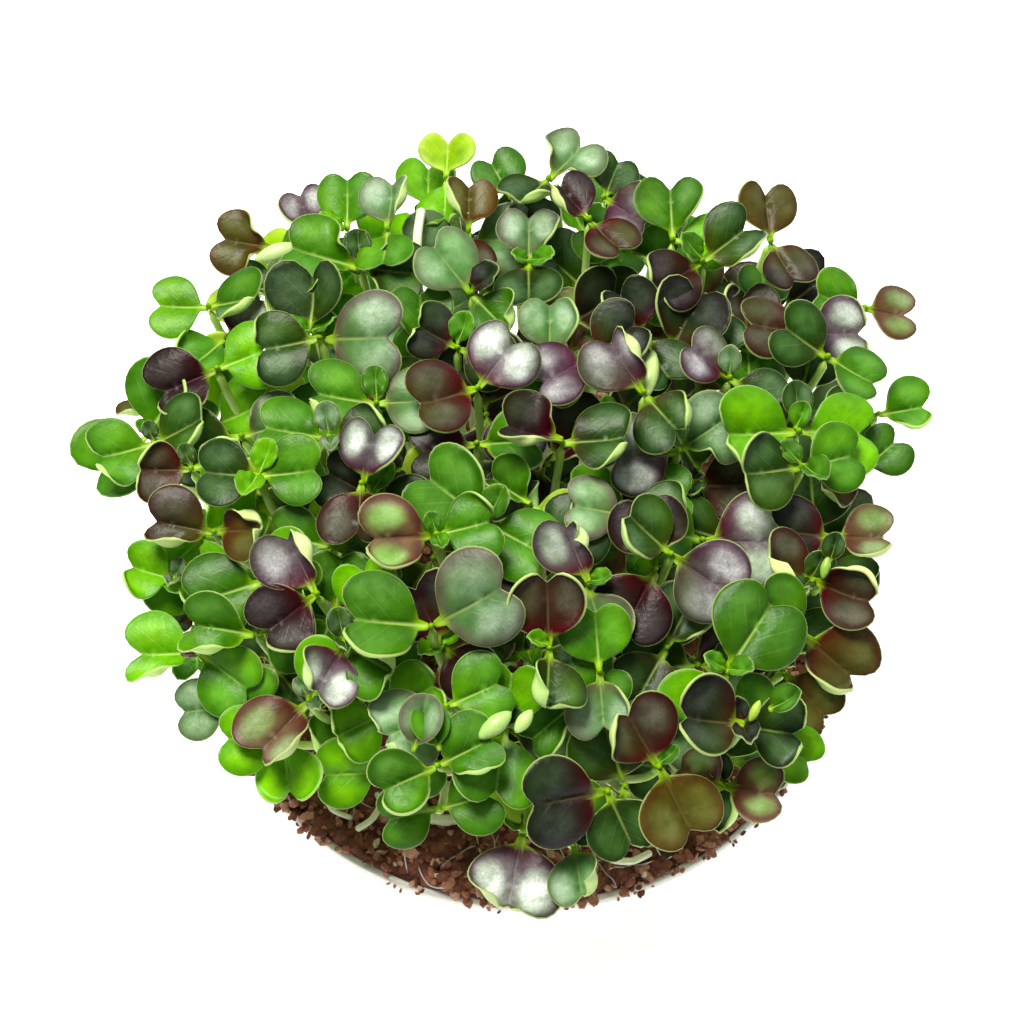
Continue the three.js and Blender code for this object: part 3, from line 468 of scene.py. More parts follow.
# %% Find each seedling's free place
def place_costs(mover, settled, places, heights):
    costs = np.zeros((len(places), len(heights)))
    for fixed in settled:
        gap = np.hypot(places[:, 0] - fixed.x, places[:, 1] - fixed.y)
        near = gap < NEIGHBOUR_REACH
        if not near.any():
            continue
        for a in (0, 1):
            for b in (0, 1):
                if far_apart(mover, a, fixed, b, places):
                    continue
                low, high = meeting_span(mover, a, fixed, b, places)
                inside = (heights > low[:, None]) & (heights < high[:, None])
                costs += CROSSING_COST * (inside & near[:, None])
            x = places[:, 0] - fixed.x
            y = places[:, 1] - fixed.y
            above = fixed.z + blade_height(fixed.blades[a], x, y, STEM_MARGIN) - LEAF_CLEARANCE
            costs += STEM_COST * ((heights > above[:, None]) & near[:, None])
            below = fixed.z - blade_height(mover.blades[a], -x, -y, STEM_MARGIN) + LEAF_CLEARANCE
            costs += STEM_COST * ((heights < below[:, None]) & near[:, None])
    return costs


def settle(seedlings):
    steps = ring_steps(SIDE_STEPS)
    count = int((HEIGHT_SEARCH_UP + HEIGHT_SEARCH_DOWN) / HEIGHT_STEP) + 1
    rises = np.array([HEIGHT_SEARCH_UP - k * HEIGHT_STEP for k in range(count)])
    seen = steps[:, 1:] * math.sin(VIEW_ANGLE) + rises * math.cos(VIEW_ANGLE)
    wanted = SHIFT_COST * np.hypot(steps[:, :1], seen) + HEIGHT_COST * np.abs(rises)
    settled = []
    for mover in sorted(seedlings, key=lambda one: (-one.lift, one.index)):
        places = steps + (mover.x, mover.y)
        costs = wanted + place_costs(mover, settled, places, mover.home_height + rises)
        best = None
        for step in range(len(steps)):
            for k in range(count):
                if best is None or costs[step, k] < best[0] - TINY:
                    best = (costs[step, k], step, k)
        mover.x, mover.y = places[best[1]]
        mover.z = mover.home_height + rises[best[2]]
        settled.append(mover)


settle(seedlings)
print("canopy heights, mm:", round(min(s.z for s in seedlings), 1), "to",
      round(max(s.z for s in seedlings), 1))

# %% [markdown]
# ## Roots and stems
#
# Two seeds often fall together, so most seedlings share a root place with a
# neighbour. A stem rises straight from there and then curves over to its leaves: a
# cubic curve with four control points draws it, and where the straightest curve would
# cut through a leaf, its upper part steps aside.

# %% Plant the roots
ROOT_PULL = 0.72
ROOT_LIMIT = 41.5
TWIN_REACH = 13


def root_below(x, y):
    share = min(1, ROOT_LIMIT / (math.hypot(x, y) * ROOT_PULL + TINY)) * ROOT_PULL
    return np.array((x * share, y * share))


def plant_roots(seedlings):
    ideal = [root_below(s.x, s.y) for s in seedlings]
    for seedling in seedlings:
        if seedling.root is not None:
            continue
        own = ideal[seedling.index]
        free = [s for s in seedlings if s is not seedling and s.root is None]
        gaps = [math.hypot(*(own - ideal[s.index])) for s in free]
        seedling.root = own
        if gaps and min(gaps) < TWIN_REACH:
            twin = free[gaps.index(min(gaps))]
            seedling.root = (own + ideal[twin.index]) / 2
            twin.root = seedling.root
            twin.twin = seedling.index
            seedling.twin = twin.index


plant_roots(seedlings)
print("seedlings that share a root place:", sum(s.twin >= 0 for s in seedlings))

# %% Route the stems
STRAIGHT_TO = 20.9
KNEE_SHARE = 0.8
LOWER_RISE = 0.36
UPPER_DROP = 0.38
PATH_STEPS = 22
BEND_SIZES = (3, 6, 9)


def stem_controls(seedling, bend):
    rx, ry = seedling.root
    rise = seedling.z - STRAIGHT_TO
    knee_x = lerp(rx, seedling.x, KNEE_SHARE) + bend[0]
    knee_y = lerp(ry, seedling.y, KNEE_SHARE) + bend[1]
    return np.array([
        (rx, ry, STRAIGHT_TO),
        (rx, ry, STRAIGHT_TO + LOWER_RISE * rise),
        (knee_x, knee_y, seedling.z - UPPER_DROP * rise),
        (seedling.x, seedling.y, seedling.z),
    ])


def curve_points(controls, shares):
    t = np.asarray(shares, float)[:, None]
    s = 1 - t
    weights = (s * s * s, 3 * s * s * t, 3 * s * t * t, t * t * t)
    return sum(weight * point for weight, point in zip(weights, controls))


def stem_conflicts(seedling, path, neighbours):
    count = 0
    x, y, z = path.T
    for other in neighbours:
        for blade in other.blades:
            height = blade_height(blade, x - other.x, y - other.y, STEM_MARGIN)
            gap = np.abs(z - other.z - height)
            count += STEM_LEAF_HIT if (gap < STEM_CLEARANCE).any() else 0
        if other.path is not None and other.index != seedling.twin:
            aside = np.hypot(x - other.path[:, 0], y - other.path[:, 1]) < STEM_SIDE_GAP
            level = np.abs(z - other.path[:, 2]) < STEM_RISE_GAP
            count += STEM_STEM_HIT if (aside & level).any() else 0
    return count


def route_stems(movers, everyone):
    shares = [k / PATH_STEPS for k in range(1, PATH_STEPS - 1)]
    for seedling in movers:
        neighbours = [
            s for s in everyone
            if s is not seedling and math.hypot(s.x - seedling.x, s.y - seedling.y) < NEIGHBOUR_REACH
        ]
        fewest = math.inf
        for bend in ring_steps(BEND_SIZES):
            controls = stem_controls(seedling, bend)
            path = curve_points(controls, shares)
            conflicts = stem_conflicts(seedling, path, neighbours)
            if conflicts < fewest:
                fewest = conflicts
                best = (controls, path)
            if fewest == 0:
                break
        seedling.controls, seedling.path = best


route_stems(seedlings, seedlings)
bent = [s for s in seedlings if not np.allclose(s.controls, stem_controls(s, (0, 0)))]
print("stems that step aside for a leaf:", len(bent))

# %% [markdown]
# ## Does the layout match the solids?
#
# The same rule has to give the same places, or the fine leaves would stand beside the
# solid ones. Comparing every corner would be slow and would say little more than the
# boxes do, so each solid's box is set against the tips of the leaves that it holds.

# %% Check the layout against the solids
def worst_mismatch():
    """How far the leaves' tips lie outside or inside the solids' boxes, in mm."""
    worst = 0.0
    for name in seedling_nodes:
        low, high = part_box(name)
        numbers = [int(number) - 1 for number in name.split("_")[1:]]
        tips = []
        for seedling in (seedlings[number] for number in numbers):
            for blade, samples in zip(seedling.blades, seedling.samples):
                tips.append(samples + (seedling.x, seedling.y, seedling.z))
        tips = np.vstack(tips)
        worst = max(worst, *(np.array(low)[:2] / MM - tips.min(0)[:2]))
        worst = max(worst, *(tips.max(0)[:2] - np.array(high)[:2] / MM))
    return worst


print("worst mismatch, mm:", round(worst_mismatch(), 2))

# %% [markdown]
# ## The lower storey
#
# A tray this dense has a second layer of smaller, later seedlings wherever light still
# comes down between the first. They are worked out by the same idea: look along the
# line of sight at which parts of the canopy no leaf covers yet, put the next late
# seedling at the emptiest place, turn it so that it covers the most, and let it settle
# at the depth where it meets nobody. After each one the picture is brought up to date.

# %% What the leaves cover in the picture
# The picture is a square of cells, in millimetres, that stands across the line of sight.
CELL = 1.5
CELLS_WIDE = 84
WINDOW = 2
SEEN_UP = math.sin(VIEW_ANGLE)
SEEN_RISE = math.cos(VIEW_ANGLE)
LEVEL_STEPS = 6
LOWEST_LEVEL = 20


def seen(point):
    """A point's place in the picture plane, to the right and up."""
    return np.array((point[0], point[1] * SEEN_UP + point[2] * SEEN_RISE))


def cover(seedling, right, up):
    """Which cells of the picture a seedling's two leaves cover."""
    covered = np.zeros(right.shape, bool)
    home = seen((seedling.x, seedling.y, seedling.z))
    for blade in seedling.blades:
        along, side = seen(blade.along), seen(blade.side)
        det = along[0] * side[1] - along[1] * side[0]
        ahead = ((right - home[0]) * side[1] - (up - home[1]) * side[0]) / det
        across = (along[0] * (up - home[1]) - along[1] * (right - home[0])) / det
        forward = ahead - blade.middle
        edge = outline_radius(blade, np.arctan2(across, forward))
        covered |= np.hypot(forward, across) <= edge
    return covered


def window_mean(values):
    """Each cell's mean over the square window around it."""
    total = np.zeros(values.shape)
    for k in range(-WINDOW, WINDOW + 1):
        total += np.roll(values, k, axis=0)
    both = np.zeros(values.shape)
    for k in range(-WINDOW, WINDOW + 1):
        both += np.roll(total, k, axis=1)
    return both / (2 * WINDOW + 1) ** 2


def canopy_level(right, up):
    """The dome's height where the line of sight meets it, found in a few steps."""
    level = np.full(right.shape, float(CANOPY_TOP))
    for _ in range(LEVEL_STEPS):
        y = (up - SEEN_RISE * level) / SEEN_UP
        level = np.vectorize(canopy_height)(right, y)
        level = np.clip(level, LOWEST_LEVEL, CANOPY_TOP)
    return level


print("the picture has", CELLS_WIDE ** 2, "cells of", CELL, "mm")

# %% Grow one late seedling
LATE_WIDTHS = (9, 14)
LATE_DEPTHS = (3, 5, 7, 9, 11, 13, 15)
LATE_DEPTH_COST = 0.8
LATE_FIRST_BOWL = 0.1
LATE_FOLD = (0.0, 0.38)
LATE_BOWL = (-0.15, 0.25)
LATE_TURNS = 12
LATE_SPREAD = (150, 210)
LATE_GREENS = ("dark", "green", "green", "bright", "sage", "green", "bright", "lime")
LATE_DARKS = ("dark", "brown", "green", "black", "sage", "rosy", "maroon", "dark")
DARK_FROM_X = -12
DARK_BELOW_Y = 38


def late_seedling(place, index, empty, right, up, draw):
    """A seedling that opens its leaves at one place of the picture."""
    widths = [lerp(*LATE_WIDTHS, draw()) for _ in (0, 1)]
    kinds = LATE_DARKS if place[0] > DARK_FROM_X and place[1] < DARK_BELOW_Y else LATE_GREENS
    tints = [kinds[int(len(kinds) * draw())]] * 2
    spread = lerp(*LATE_SPREAD, draw())
    first_turn = 360 * draw()
    best = None
    for k in range(LATE_TURNS):
        heading = first_turn + 360 * k / LATE_TURNS
        first_leaf = (heading, widths[0], tints[0])
        second_leaf = (heading + spread, widths[1], tints[1])
        row = (*place[:2], 0, *first_leaf, *second_leaf, LATE_FIRST_BOWL)
        trial = make_seedling(row, index)
        trial.x, trial.y, trial.z = place
        gain = (cover(trial, right, up) & empty).sum()
        if best is None or gain > best[0]:
            best = (gain, trial)
    return best[1]


def sink(mover, settled):
    """Lowers a late seedling along the line of sight to its cheapest depth."""
    depths = np.array(LATE_DEPTHS, float)
    places = np.array([(mover.x, mover.y + depth * SEEN_RISE / SEEN_UP) for depth in depths])
    heights = mover.z - depths
    costs = np.diag(place_costs(mover, settled, places, heights)) + LATE_DEPTH_COST * depths
    best = int(costs.argmin())
    mover.x, mover.y = places[best]
    mover.z = heights[best]


def ruffle(seedling, draw):
    """Late leaves lie less flat than the first ones: folded along the rib or cupped."""
    for blade in seedling.blades:
        blade.fold += lerp(*LATE_FOLD, draw())
        blade.bowl += lerp(*LATE_BOWL, draw())


print("a late seedling tries", LATE_TURNS, "turns and", len(LATE_DEPTHS), "depths")

# %% Fill the gaps between the leaves
LATE_SEED = 77
MOST_LATE_SEEDLINGS = 190
LATE_ROOT_SHIFT = (-3, 3)
LATE_INSET = 4.5
LEAST_OPEN = 0.035
TAKEN_RADIUS = 1.6
# How far the canopy reaches in the picture, every 15 degrees round from the right.
CANOPY_REACH = (
    53, 58, 62, 59, 55, 54, 51, 54, 54, 58, 57, 60, 55, 54, 47, 41, 36, 35, 35, 40, 49, 56, 55, 55,
)
REACH_STEP = math.radians(15)
PICTURE_CENTRE = (-2, -2, 53)
PICTURE_CENTRE_DROP = 1.2


def grow_late(seedlings):
    draw = seeded_draws(LATE_SEED)
    axis = (np.arange(CELLS_WIDE) - CELLS_WIDE / 2 + 0.5) * CELL
    centre = seen(PICTURE_CENTRE)
    right, up = np.meshgrid(axis + centre[0], axis + centre[1])
    flat_y = (up - SEEN_RISE * canopy_level(right, up)) / SEEN_UP
    aside, above = right - centre[0], up - centre[1] + PICTURE_CENTRE_DROP
    turn = np.arctan2(above, aside) % (2 * math.pi)
    corners = np.arange(len(CANOPY_REACH) + 1) * REACH_STEP
    reach = np.interp(turn, corners, (*CANOPY_REACH, CANOPY_REACH[0]))
    inside = np.hypot(aside, above) < reach - LATE_INSET
    empty = inside.copy()
    for seedling in seedlings:
        empty &= ~cover(seedling, right, up)
    late = []
    for k in range(MOST_LATE_SEEDLINGS):
        openness = window_mean(empty) * inside
        if openness.max() < LEAST_OPEN:
            break
        cell = np.unravel_index(openness.argmax(), empty.shape)
        place = (right[cell], flat_y[cell], canopy_height(right[cell], flat_y[cell]))
        grown = late_seedling(place, len(seedlings) + k, empty, right, up, draw)
        sink(grown, seedlings + late)
        empty &= ~cover(grown, right, up)
        empty &= np.hypot(right - right[cell], up - up[cell]) > TAKEN_RADIUS
        ruffle(grown, draw)
        late.append(grown)
    print("cells still open:", int(empty.sum()), "of", empty.size)
    return late


late_seedlings = grow_late(seedlings)
for seedling in late_seedlings:
    shift = np.array([lerp(*LATE_ROOT_SHIFT, value) for value in (seedling.x % 1, seedling.y % 1)])
    seedling.root = root_below(seedling.x, seedling.y) + shift
route_stems(late_seedlings, seedlings + late_seedlings)
print("late seedlings:", len(late_seedlings))

# %% [markdown]
# ## One helper for materials
#
# A material is a small graph of nodes. Adding a node always takes the same steps:
# make it, set its options and its sockets, and link what feeds it. One function does
# that for every kind of node, so that a material reads as a list of what it is made of.

# %% Add a node with its settings and links
def add_node(tree, kind, settings=None, links=None):
    node = tree.nodes.new(kind)
    for key, value in (settings or {}).items():
        if isinstance(key, str) and hasattr(node, key):
            setattr(node, key, value)
        else:
            node.inputs[key].default_value = value
    for key, source in (links or {}).items():
        tree.links.new(source, node.inputs[key])
    return node


def new_material(name):
    material = bpy.data.materials.new(name)
    material.use_nodes = True
    tree = material.node_tree
    tree.nodes.clear()
    return material, tree


def finish_material(tree, shader):
    add_node(tree, "ShaderNodeOutputMaterial", links={"Surface": shader.outputs[0]})


def per_metre(size_mm):
    """A noise texture's scale for features of a real size in millimetres."""
    return 1 / (size_mm * MM)


print("Blender", bpy.app.version_string, "draws 1 mm features at a noise scale of", round(per_metre(1)))

# %% [markdown]
# ## The leaves' finish
#
# A pak choi seed leaf is a smooth, slightly waxy skin over moist tissue. It has a soft satin gloss, a
# thin pale rim where the two skins meet, a fine groove along its middle, and on the coloured seedlings
# a silver bloom, which is a matt grain of wax; its pale colour also carries a painted silver sheen.
# The underside is paler and limier. Each leaf has its own colours, so they can't be
# the material's: every corner of the mesh carries them as attributes, and the
# material only adds what is too fine for corners, such as veins, grain and the rim.

# %% The rib and the veins
VEIN_PAIRS = 4.2
VEIN_SLANT = 1.15


def leaf_lines(tree, where, mark):
    """Masks of the rib, and of side veins that leave it forwards and outwards."""
    across = add_node(tree, "ShaderNodeMath", {"operation": "ABSOLUTE"}, {0: where.outputs["X"]})
    climb = add_node(tree, "ShaderNodeMath", {"operation": "MULTIPLY_ADD", 1: -VEIN_SLANT},
                     {0: across.outputs[0], 2: where.outputs["Y"]})
    wave = add_node(tree, "ShaderNodeMath", {"operation": "MULTIPLY", 1: VEIN_PAIRS * 2 * math.pi},
                    {0: climb.outputs[0]})
    ripple = add_node(tree, "ShaderNodeMath", {"operation": "COSINE"}, {0: wave.outputs[0]})
    vein = add_node(tree, "ShaderNodeMapRange", {1: 0.93, 2: 1.0, 3: 0.0, 4: 1.0},
                    {0: ripple.outputs[0]})
    inner = add_node(tree, "ShaderNodeMapRange", {1: 0.85, 2: 0.55, 3: 0.0, 4: 1.0},
                     {0: mark.outputs["X"]})
    veins = add_node(tree, "ShaderNodeMath", {"operation": "MULTIPLY"},
                     {0: vein.outputs[0], 1: inner.outputs[0]})
    rib = add_node(tree, "ShaderNodeMapRange", {1: 0.026, 2: 0.006, 3: 0.0, 4: 1.0},
                   {0: across.outputs[0]})
    rib_reach = add_node(tree, "ShaderNodeMapRange", {1: 0.72, 2: 0.30, 3: 0.0, 4: 1.0},
                         {0: where.outputs["Y"]})
    ribs = add_node(tree, "ShaderNodeMath", {"operation": "MULTIPLY"},
                    {0: rib.outputs[0], 1: rib_reach.outputs[0]})
    return ribs, veins


print("side veins on each half of a leaf:", VEIN_PAIRS)

# %% The silver bloom and its painted sheen
SPECKLE = (0.65, 1.25)
PATCH = (0.6, 1.35)


def wax_bloom_and_sheen(tree, grain, blotch, mark):
    """A grain of wax with a painted silver sheen: as strong as the corners' own mask, and broken by
    blotches.
    """
    speckle = add_node(tree, "ShaderNodeMapRange", {1: 0.25, 2: 0.75, 3: SPECKLE[0], 4: SPECKLE[1]},
                       {0: grain.outputs["Fac"]})
    patch = add_node(tree, "ShaderNodeMapRange", {1: 0.36, 2: 0.62, 3: PATCH[0], 4: PATCH[1]},
                     {0: blotch.outputs["Fac"]})
    patchy = add_node(tree, "ShaderNodeMath", {"operation": "MULTIPLY"},
                      {0: speckle.outputs[0], 1: patch.outputs[0]})
    return add_node(tree, "ShaderNodeMath", {"operation": "MULTIPLY", "use_clamp": True},
                    {0: patchy.outputs[0], 1: mark.outputs["Y"]})


print("the bloom varies from", round(SPECKLE[0] * PATCH[0], 2), "to", round(SPECKLE[1] * PATCH[1], 2),
      "of its mask")

# %% Leaf tissue
RIM_COLOUR = "a6b870"
# The bloom's pale colour: partly the wax's own colour, partly a painted silver sheen.
BLOOM_AND_SHEEN_COLOUR = "d4d9da"
DARK_RIB = "451620"
PALE_RIB = "b5d36a"
BLOTCH_SIZE = 2.6
GRAIN_SIZE = 0.34
SKIN_CELL_SIZE = 1.1
RIB_SHARE = 0.45
VEIN_SHARE = 0.06
RIM_SHARE = 0.62
LEAF_SATURATION = 1.2
LEAF_ROUGHNESS = 0.36
BLOOM_ROUGHNESS = 0.22
# The Mix node's colour sockets, which share their names with its other sockets.
MIX_A, MIX_B, MIX_RESULT = 6, 7, 2


def leaf_material():
    material, tree = new_material("leaf_tissue")
    upper = add_node(tree, "ShaderNodeAttribute", {"attribute_name": "upper_colour"})
    under = add_node(tree, "ShaderNodeAttribute", {"attribute_name": "under_colour"})
    marks = add_node(tree, "ShaderNodeAttribute", {"attribute_name": "leaf_marks"})
    place = add_node(tree, "ShaderNodeAttribute", {"attribute_name": "leaf_place"})
    mark = add_node(tree, "ShaderNodeSeparateXYZ", links={0: marks.outputs["Vector"]})
    where = add_node(tree, "ShaderNodeSeparateXYZ", links={0: place.outputs["Vector"]})
    points = add_node(tree, "ShaderNodeTexCoord")
    blotch, grain, skin = (
        add_node(tree, "ShaderNodeTexNoise", {"Scale": per_metre(size), "Detail": detail},
                 {"Vector": points.outputs["Object"]})
        for size, detail in ((BLOTCH_SIZE, 3.0), (GRAIN_SIZE, 2.0), (SKIN_CELL_SIZE, 1.0))
    )
    cloud = add_node(tree, "ShaderNodeMapRange", {1: 0.3, 2: 0.7, 3: 0.74, 4: 1.2},
                     {0: blotch.outputs["Fac"]})
    tint = add_node(tree, "ShaderNodeHueSaturation", {"Saturation": LEAF_SATURATION},
                    {"Color": upper.outputs["Color"], "Value": cloud.outputs[0]})

    # The rib and the veins, then the bloom with its painted sheen, the underside and the rim go over
    # the tint.
    ribs, veins = leaf_lines(tree, where, mark)
    rib_colour = add_node(
        tree, "ShaderNodeMix", {"data_type": "RGBA", MIX_A: colour(DARK_RIB), MIX_B: colour(PALE_RIB)},
        {0: upper.outputs["Alpha"]},
    )
    veined = tint.outputs[0]
    for lines, strength in ((ribs, RIB_SHARE), (veins, VEIN_SHARE)):
        share = add_node(tree, "ShaderNodeMath", {"operation": "MULTIPLY", 1: strength},
                         {0: lines.outputs[0]})
        drawn = add_node(tree, "ShaderNodeMix", {"data_type": "RGBA"},
                         {0: share.outputs[0], MIX_A: veined, MIX_B: rib_colour.outputs[MIX_RESULT]})
        veined = drawn.outputs[MIX_RESULT]
    # Partly a real wax bloom, partly a painted sheen.
    bloom_and_sheen = wax_bloom_and_sheen(tree, grain, blotch, mark)
    with_bloom_and_sheen = add_node(
        tree, "ShaderNodeMix", {"data_type": "RGBA", MIX_B: colour(BLOOM_AND_SHEEN_COLOUR)},
        {0: bloom_and_sheen.outputs[0], MIX_A: veined},
    )
    both = add_node(
        tree, "ShaderNodeMix", {"data_type": "RGBA"},
        {0: mark.outputs["Z"], MIX_A: under.outputs["Color"], MIX_B: with_bloom_and_sheen.outputs[MIX_RESULT]},
    )
    rim = add_node(tree, "ShaderNodeMapRange", {1: 0.968, 2: 0.994, 3: 0.0, 4: RIM_SHARE},
                   {0: mark.outputs["X"]})
    rimmed = add_node(
        tree, "ShaderNodeMix", {"data_type": "RGBA", MIX_B: colour(RIM_COLOUR)},
        {0: rim.outputs[0], MIX_A: both.outputs[MIX_RESULT]},
    )

    # Grooves along the veins, and the skin's cells, which are drawn larger than life.
    groove = add_node(tree, "ShaderNodeMath", {"operation": "MULTIPLY_ADD", 1: 0.5},
                      {0: veins.outputs[0], 2: ribs.outputs[0]})
    height = add_node(tree, "ShaderNodeMath", {"operation": "MULTIPLY_ADD", 1: -0.9},
                      {0: groove.outputs[0], 2: grain.outputs["Fac"]})
    relief = add_node(tree, "ShaderNodeMath", {"operation": "MULTIPLY_ADD", 1: 2.2},
                      {0: skin.outputs["Fac"], 2: height.outputs[0]})
    bump = add_node(tree, "ShaderNodeBump", {"Strength": 0.3, "Distance": 0.00012},
                    {"Height": relief.outputs[0]})
    gloss = add_node(
        tree, "ShaderNodeMath", {"operation": "MULTIPLY_ADD", 1: BLOOM_ROUGHNESS, 2: LEAF_ROUGHNESS},
        {0: bloom_and_sheen.outputs[0]},
    )
    shader = add_node(
        tree, "ShaderNodeBsdfPrincipled",
        {"Specular IOR Level": 0.15, "Subsurface Weight": 0.1, "Subsurface Scale": 0.0008,
         "Subsurface Radius": (0.5, 1.0, 0.25)},
        {"Base Color": rimmed.outputs[MIX_RESULT], "Roughness": gloss.outputs[0],
         "Normal": bump.outputs[0]},
    )
    finish_material(tree, shader)
    return material


LEAF = leaf_material()
print("leaf tissue has", len(LEAF.node_tree.nodes), "nodes")

# %% [markdown]
# ## The stems' finish
#
# A stem grown in crowded shade is nearly white at its foot and turns pale yellow-green
# towards the light. It is juicy, so light wanders a little way inside it, and its skin
# has fine lengthwise ribs. The colour is an attribute again, because it changes along
# the stem; the ribs are a stretched noise.

# %% Stem tissue
RIB_SPACING = 0.25
STEM_ROUGHNESS = 0.36


def stem_material():
    material, tree = new_material("stem_tissue")
    tone = add_node(tree, "ShaderNodeAttribute", {"attribute_name": "upper_colour"})
    points = add_node(tree, "ShaderNodeTexCoord")
    stretch = add_node(tree, "ShaderNodeMapping", {"Scale": (1.0, 1.0, 0.08)},
                       {"Vector": points.outputs["Object"]})
    ribs = add_node(tree, "ShaderNodeTexNoise", {"Scale": per_metre(RIB_SPACING), "Detail": 2.0},
                    {"Vector": stretch.outputs[0]})
    value = add_node(tree, "ShaderNodeMapRange", {1: 0.3, 2: 0.7, 3: 0.9, 4: 1.06},
                     {0: ribs.outputs["Fac"]})
    shade = add_node(tree, "ShaderNodeHueSaturation", links={
        "Color": tone.outputs["Color"], "Value": value.outputs[0]})
    bump = add_node(tree, "ShaderNodeBump", {"Strength": 0.2, "Distance": 0.00008},
                    {"Height": ribs.outputs["Fac"]})
    shader = add_node(
        tree, "ShaderNodeBsdfPrincipled",
        {"Roughness": STEM_ROUGHNESS, "Specular IOR Level": 0.5, "Subsurface Weight": 0.3,
         "Subsurface Scale": 0.001, "Subsurface Radius": (0.8, 1.0, 0.4)},
        {"Base Color": shade.outputs[0], "Normal": bump.outputs[0]},
    )
    finish_material(tree, shader)
    return material


STEM = stem_material()
print("stem tissue has", len(STEM.node_tree.nodes), "nodes")

# %% [markdown]
# ## The coir's finish
#
# Coir is the ground husk of coconuts: red-brown chips and dust, with a few pale fibres. It is quite
# matt. Each crumb carries its own shade as an attribute, and a ramp turns the shade into a colour. The
# bed's top is darker in its hollows, and the dust is darker where its bumps are low.

# %% Coir
DUST_SIZE = 0.7
COIR_SHADES = [
    (0.00, "22120e"), (0.20, "4a2a22"), (0.42, "7c4b3c"), (0.64, "a66c58"),
    (0.84, "c4947e"), (0.95, "d8c2b2"), (1.00, "ece2d8"),
]


def coir_material():
    material, tree = new_material("coir")
    shade = add_node(tree, "ShaderNodeAttribute", {"attribute_name": "shade"})
    points = add_node(tree, "ShaderNodeTexCoord")
    dust = add_node(tree, "ShaderNodeTexNoise",
                    {"Scale": per_metre(DUST_SIZE), "Detail": 4.0, "Roughness": 0.65},
                    {"Vector": points.outputs["Object"]})
    # The dust's noise also drives its bumps, so the coir is darker where they are low.
    spread = add_node(tree, "ShaderNodeMath", {"operation": "MULTIPLY_ADD", 1: 0.5, 2: -0.25},
                      {0: dust.outputs["Fac"]})
    total = add_node(tree, "ShaderNodeMath", {"operation": "ADD", "use_clamp": True},
                     {0: spread.outputs[0], 1: shade.outputs["Fac"]})
    ramp = add_node(tree, "ShaderNodeValToRGB", links={0: total.outputs[0]})
    stops = ramp.color_ramp.elements
    stops[0].position, stops[0].color = COIR_SHADES[0][0], colour(COIR_SHADES[0][1])
    stops[1].position, stops[1].color = COIR_SHADES[-1][0], colour(COIR_SHADES[-1][1])
    for position, hex_value in COIR_SHADES[1:-1]:
        stops.new(position).color = colour(hex_value)
    bump = add_node(tree, "ShaderNodeBump", {"Strength": 0.7, "Distance": 0.0004},
                    {"Height": dust.outputs["Fac"]})
    shader = add_node(
        tree, "ShaderNodeBsdfPrincipled", {"Roughness": 0.92, "Specular IOR Level": 0.25},
        {"Base Color": ramp.outputs[0], "Normal": bump.outputs[0]},
    )
    finish_material(tree, shader)
    return material


COIR = coir_material()
print("coir has", len(COIR_SHADES), "shades, from", COIR_SHADES[0][1], "to", COIR_SHADES[-1][1])

# %% [markdown]
# ## The tray's finish
#
# The tray is thin moulded polypropylene: white, slightly soft in its gloss, and with
# the faint orange-peel that a mould leaves. The photo doesn't show it, so it stays plain.

# %% Moulded polypropylene
PEEL_SIZE = 1.5


def tray_material():
    material, tree = new_material("white_polypropylene")
    points = add_node(tree, "ShaderNodeTexCoord")
    peel = add_node(tree, "ShaderNodeTexNoise", {"Scale": per_metre(PEEL_SIZE), "Detail": 2.0},
                    {"Vector": points.outputs["Object"]})
    tone = add_node(
        tree, "ShaderNodeMix",
        {"data_type": "RGBA", MIX_A: colour("d2d1ca"), MIX_B: colour("dcdbd5")},
        {0: peel.outputs["Fac"]},
    )
    gloss = add_node(tree, "ShaderNodeMapRange", {3: 0.34, 4: 0.46}, {0: peel.outputs["Fac"]})
    bump = add_node(tree, "ShaderNodeBump", {"Strength": 0.15, "Distance": 0.0001},
                    {"Height": peel.outputs["Fac"]})
    shader = add_node(
        tree, "ShaderNodeBsdfPrincipled", {"IOR": 1.49},
        {"Base Color": tone.outputs[MIX_RESULT], "Roughness": gloss.outputs[0],
         "Normal": bump.outputs[0]},
    )
    finish_material(tree, shader)
    return material


TRAY = tray_material()
print("the tray's finish:", TRAY.name)

# %% [markdown]
# ## How a leaf's mesh is made
#
# A leaf is a flat thing with a rounded rim and two skins. A grid would need its rim
# sewn on, and a flat disc given thickness has a sharp edge. A ball pressed flat has
# everything at once: its north and south halves are the two skins, its equator is the
# rim, and it is closed. So each leaf starts as a UV sphere, and each corner moves to
# where its longitude and latitude belong on the leaf. A stem starts as a ball too,
# drawn out along its curve.

# %% Balls that know where their corners belong
# A piece of the plant has two materials, the leaf's and the stem's, in this order. What
# has no veins of its own wears one place of the leaf's pattern all over.
LEAF_SLOT, STEM_SLOT = 0, 1
PLAIN_MARKS = np.array([(0, 0, 1)])
PLAIN_PLACE = np.array([(0.3, 0.9, 0)])
ball_patterns = {}


def ball_pattern(spokes, rings):
    """A unit ball's mesh and its corners, in the mesh's order."""
    if (spokes, rings) not in ball_patterns:
        mesh = bmesh.new()
        bmesh.ops.create_uvsphere(mesh, u_segments=spokes, v_segments=rings, radius=1.0)
        data = bpy.data.meshes.new(f"ball_{spokes}_{rings}")
        mesh.to_mesh(data)
        mesh.free()
        x, y, z = np.array([vert.co for vert in data.vertices]).T
        share = np.sqrt(np.clip(1 - z * z, 0, 1))
        ball_patterns[spokes, rings] = SimpleNamespace(
            data=data, longitude=np.arctan2(y, x), share=share, side=np.sign(np.round(z, 3)),
            ring=np.round((1 - np.arccos(np.clip(z, -1, 1)) / math.pi) * rings).astype(int),
            round=np.stack([x, y], 1) / np.maximum(share, TINY)[:, None] * (share > 1e-3)[:, None],
        )
    return ball_patterns[spokes, rings]


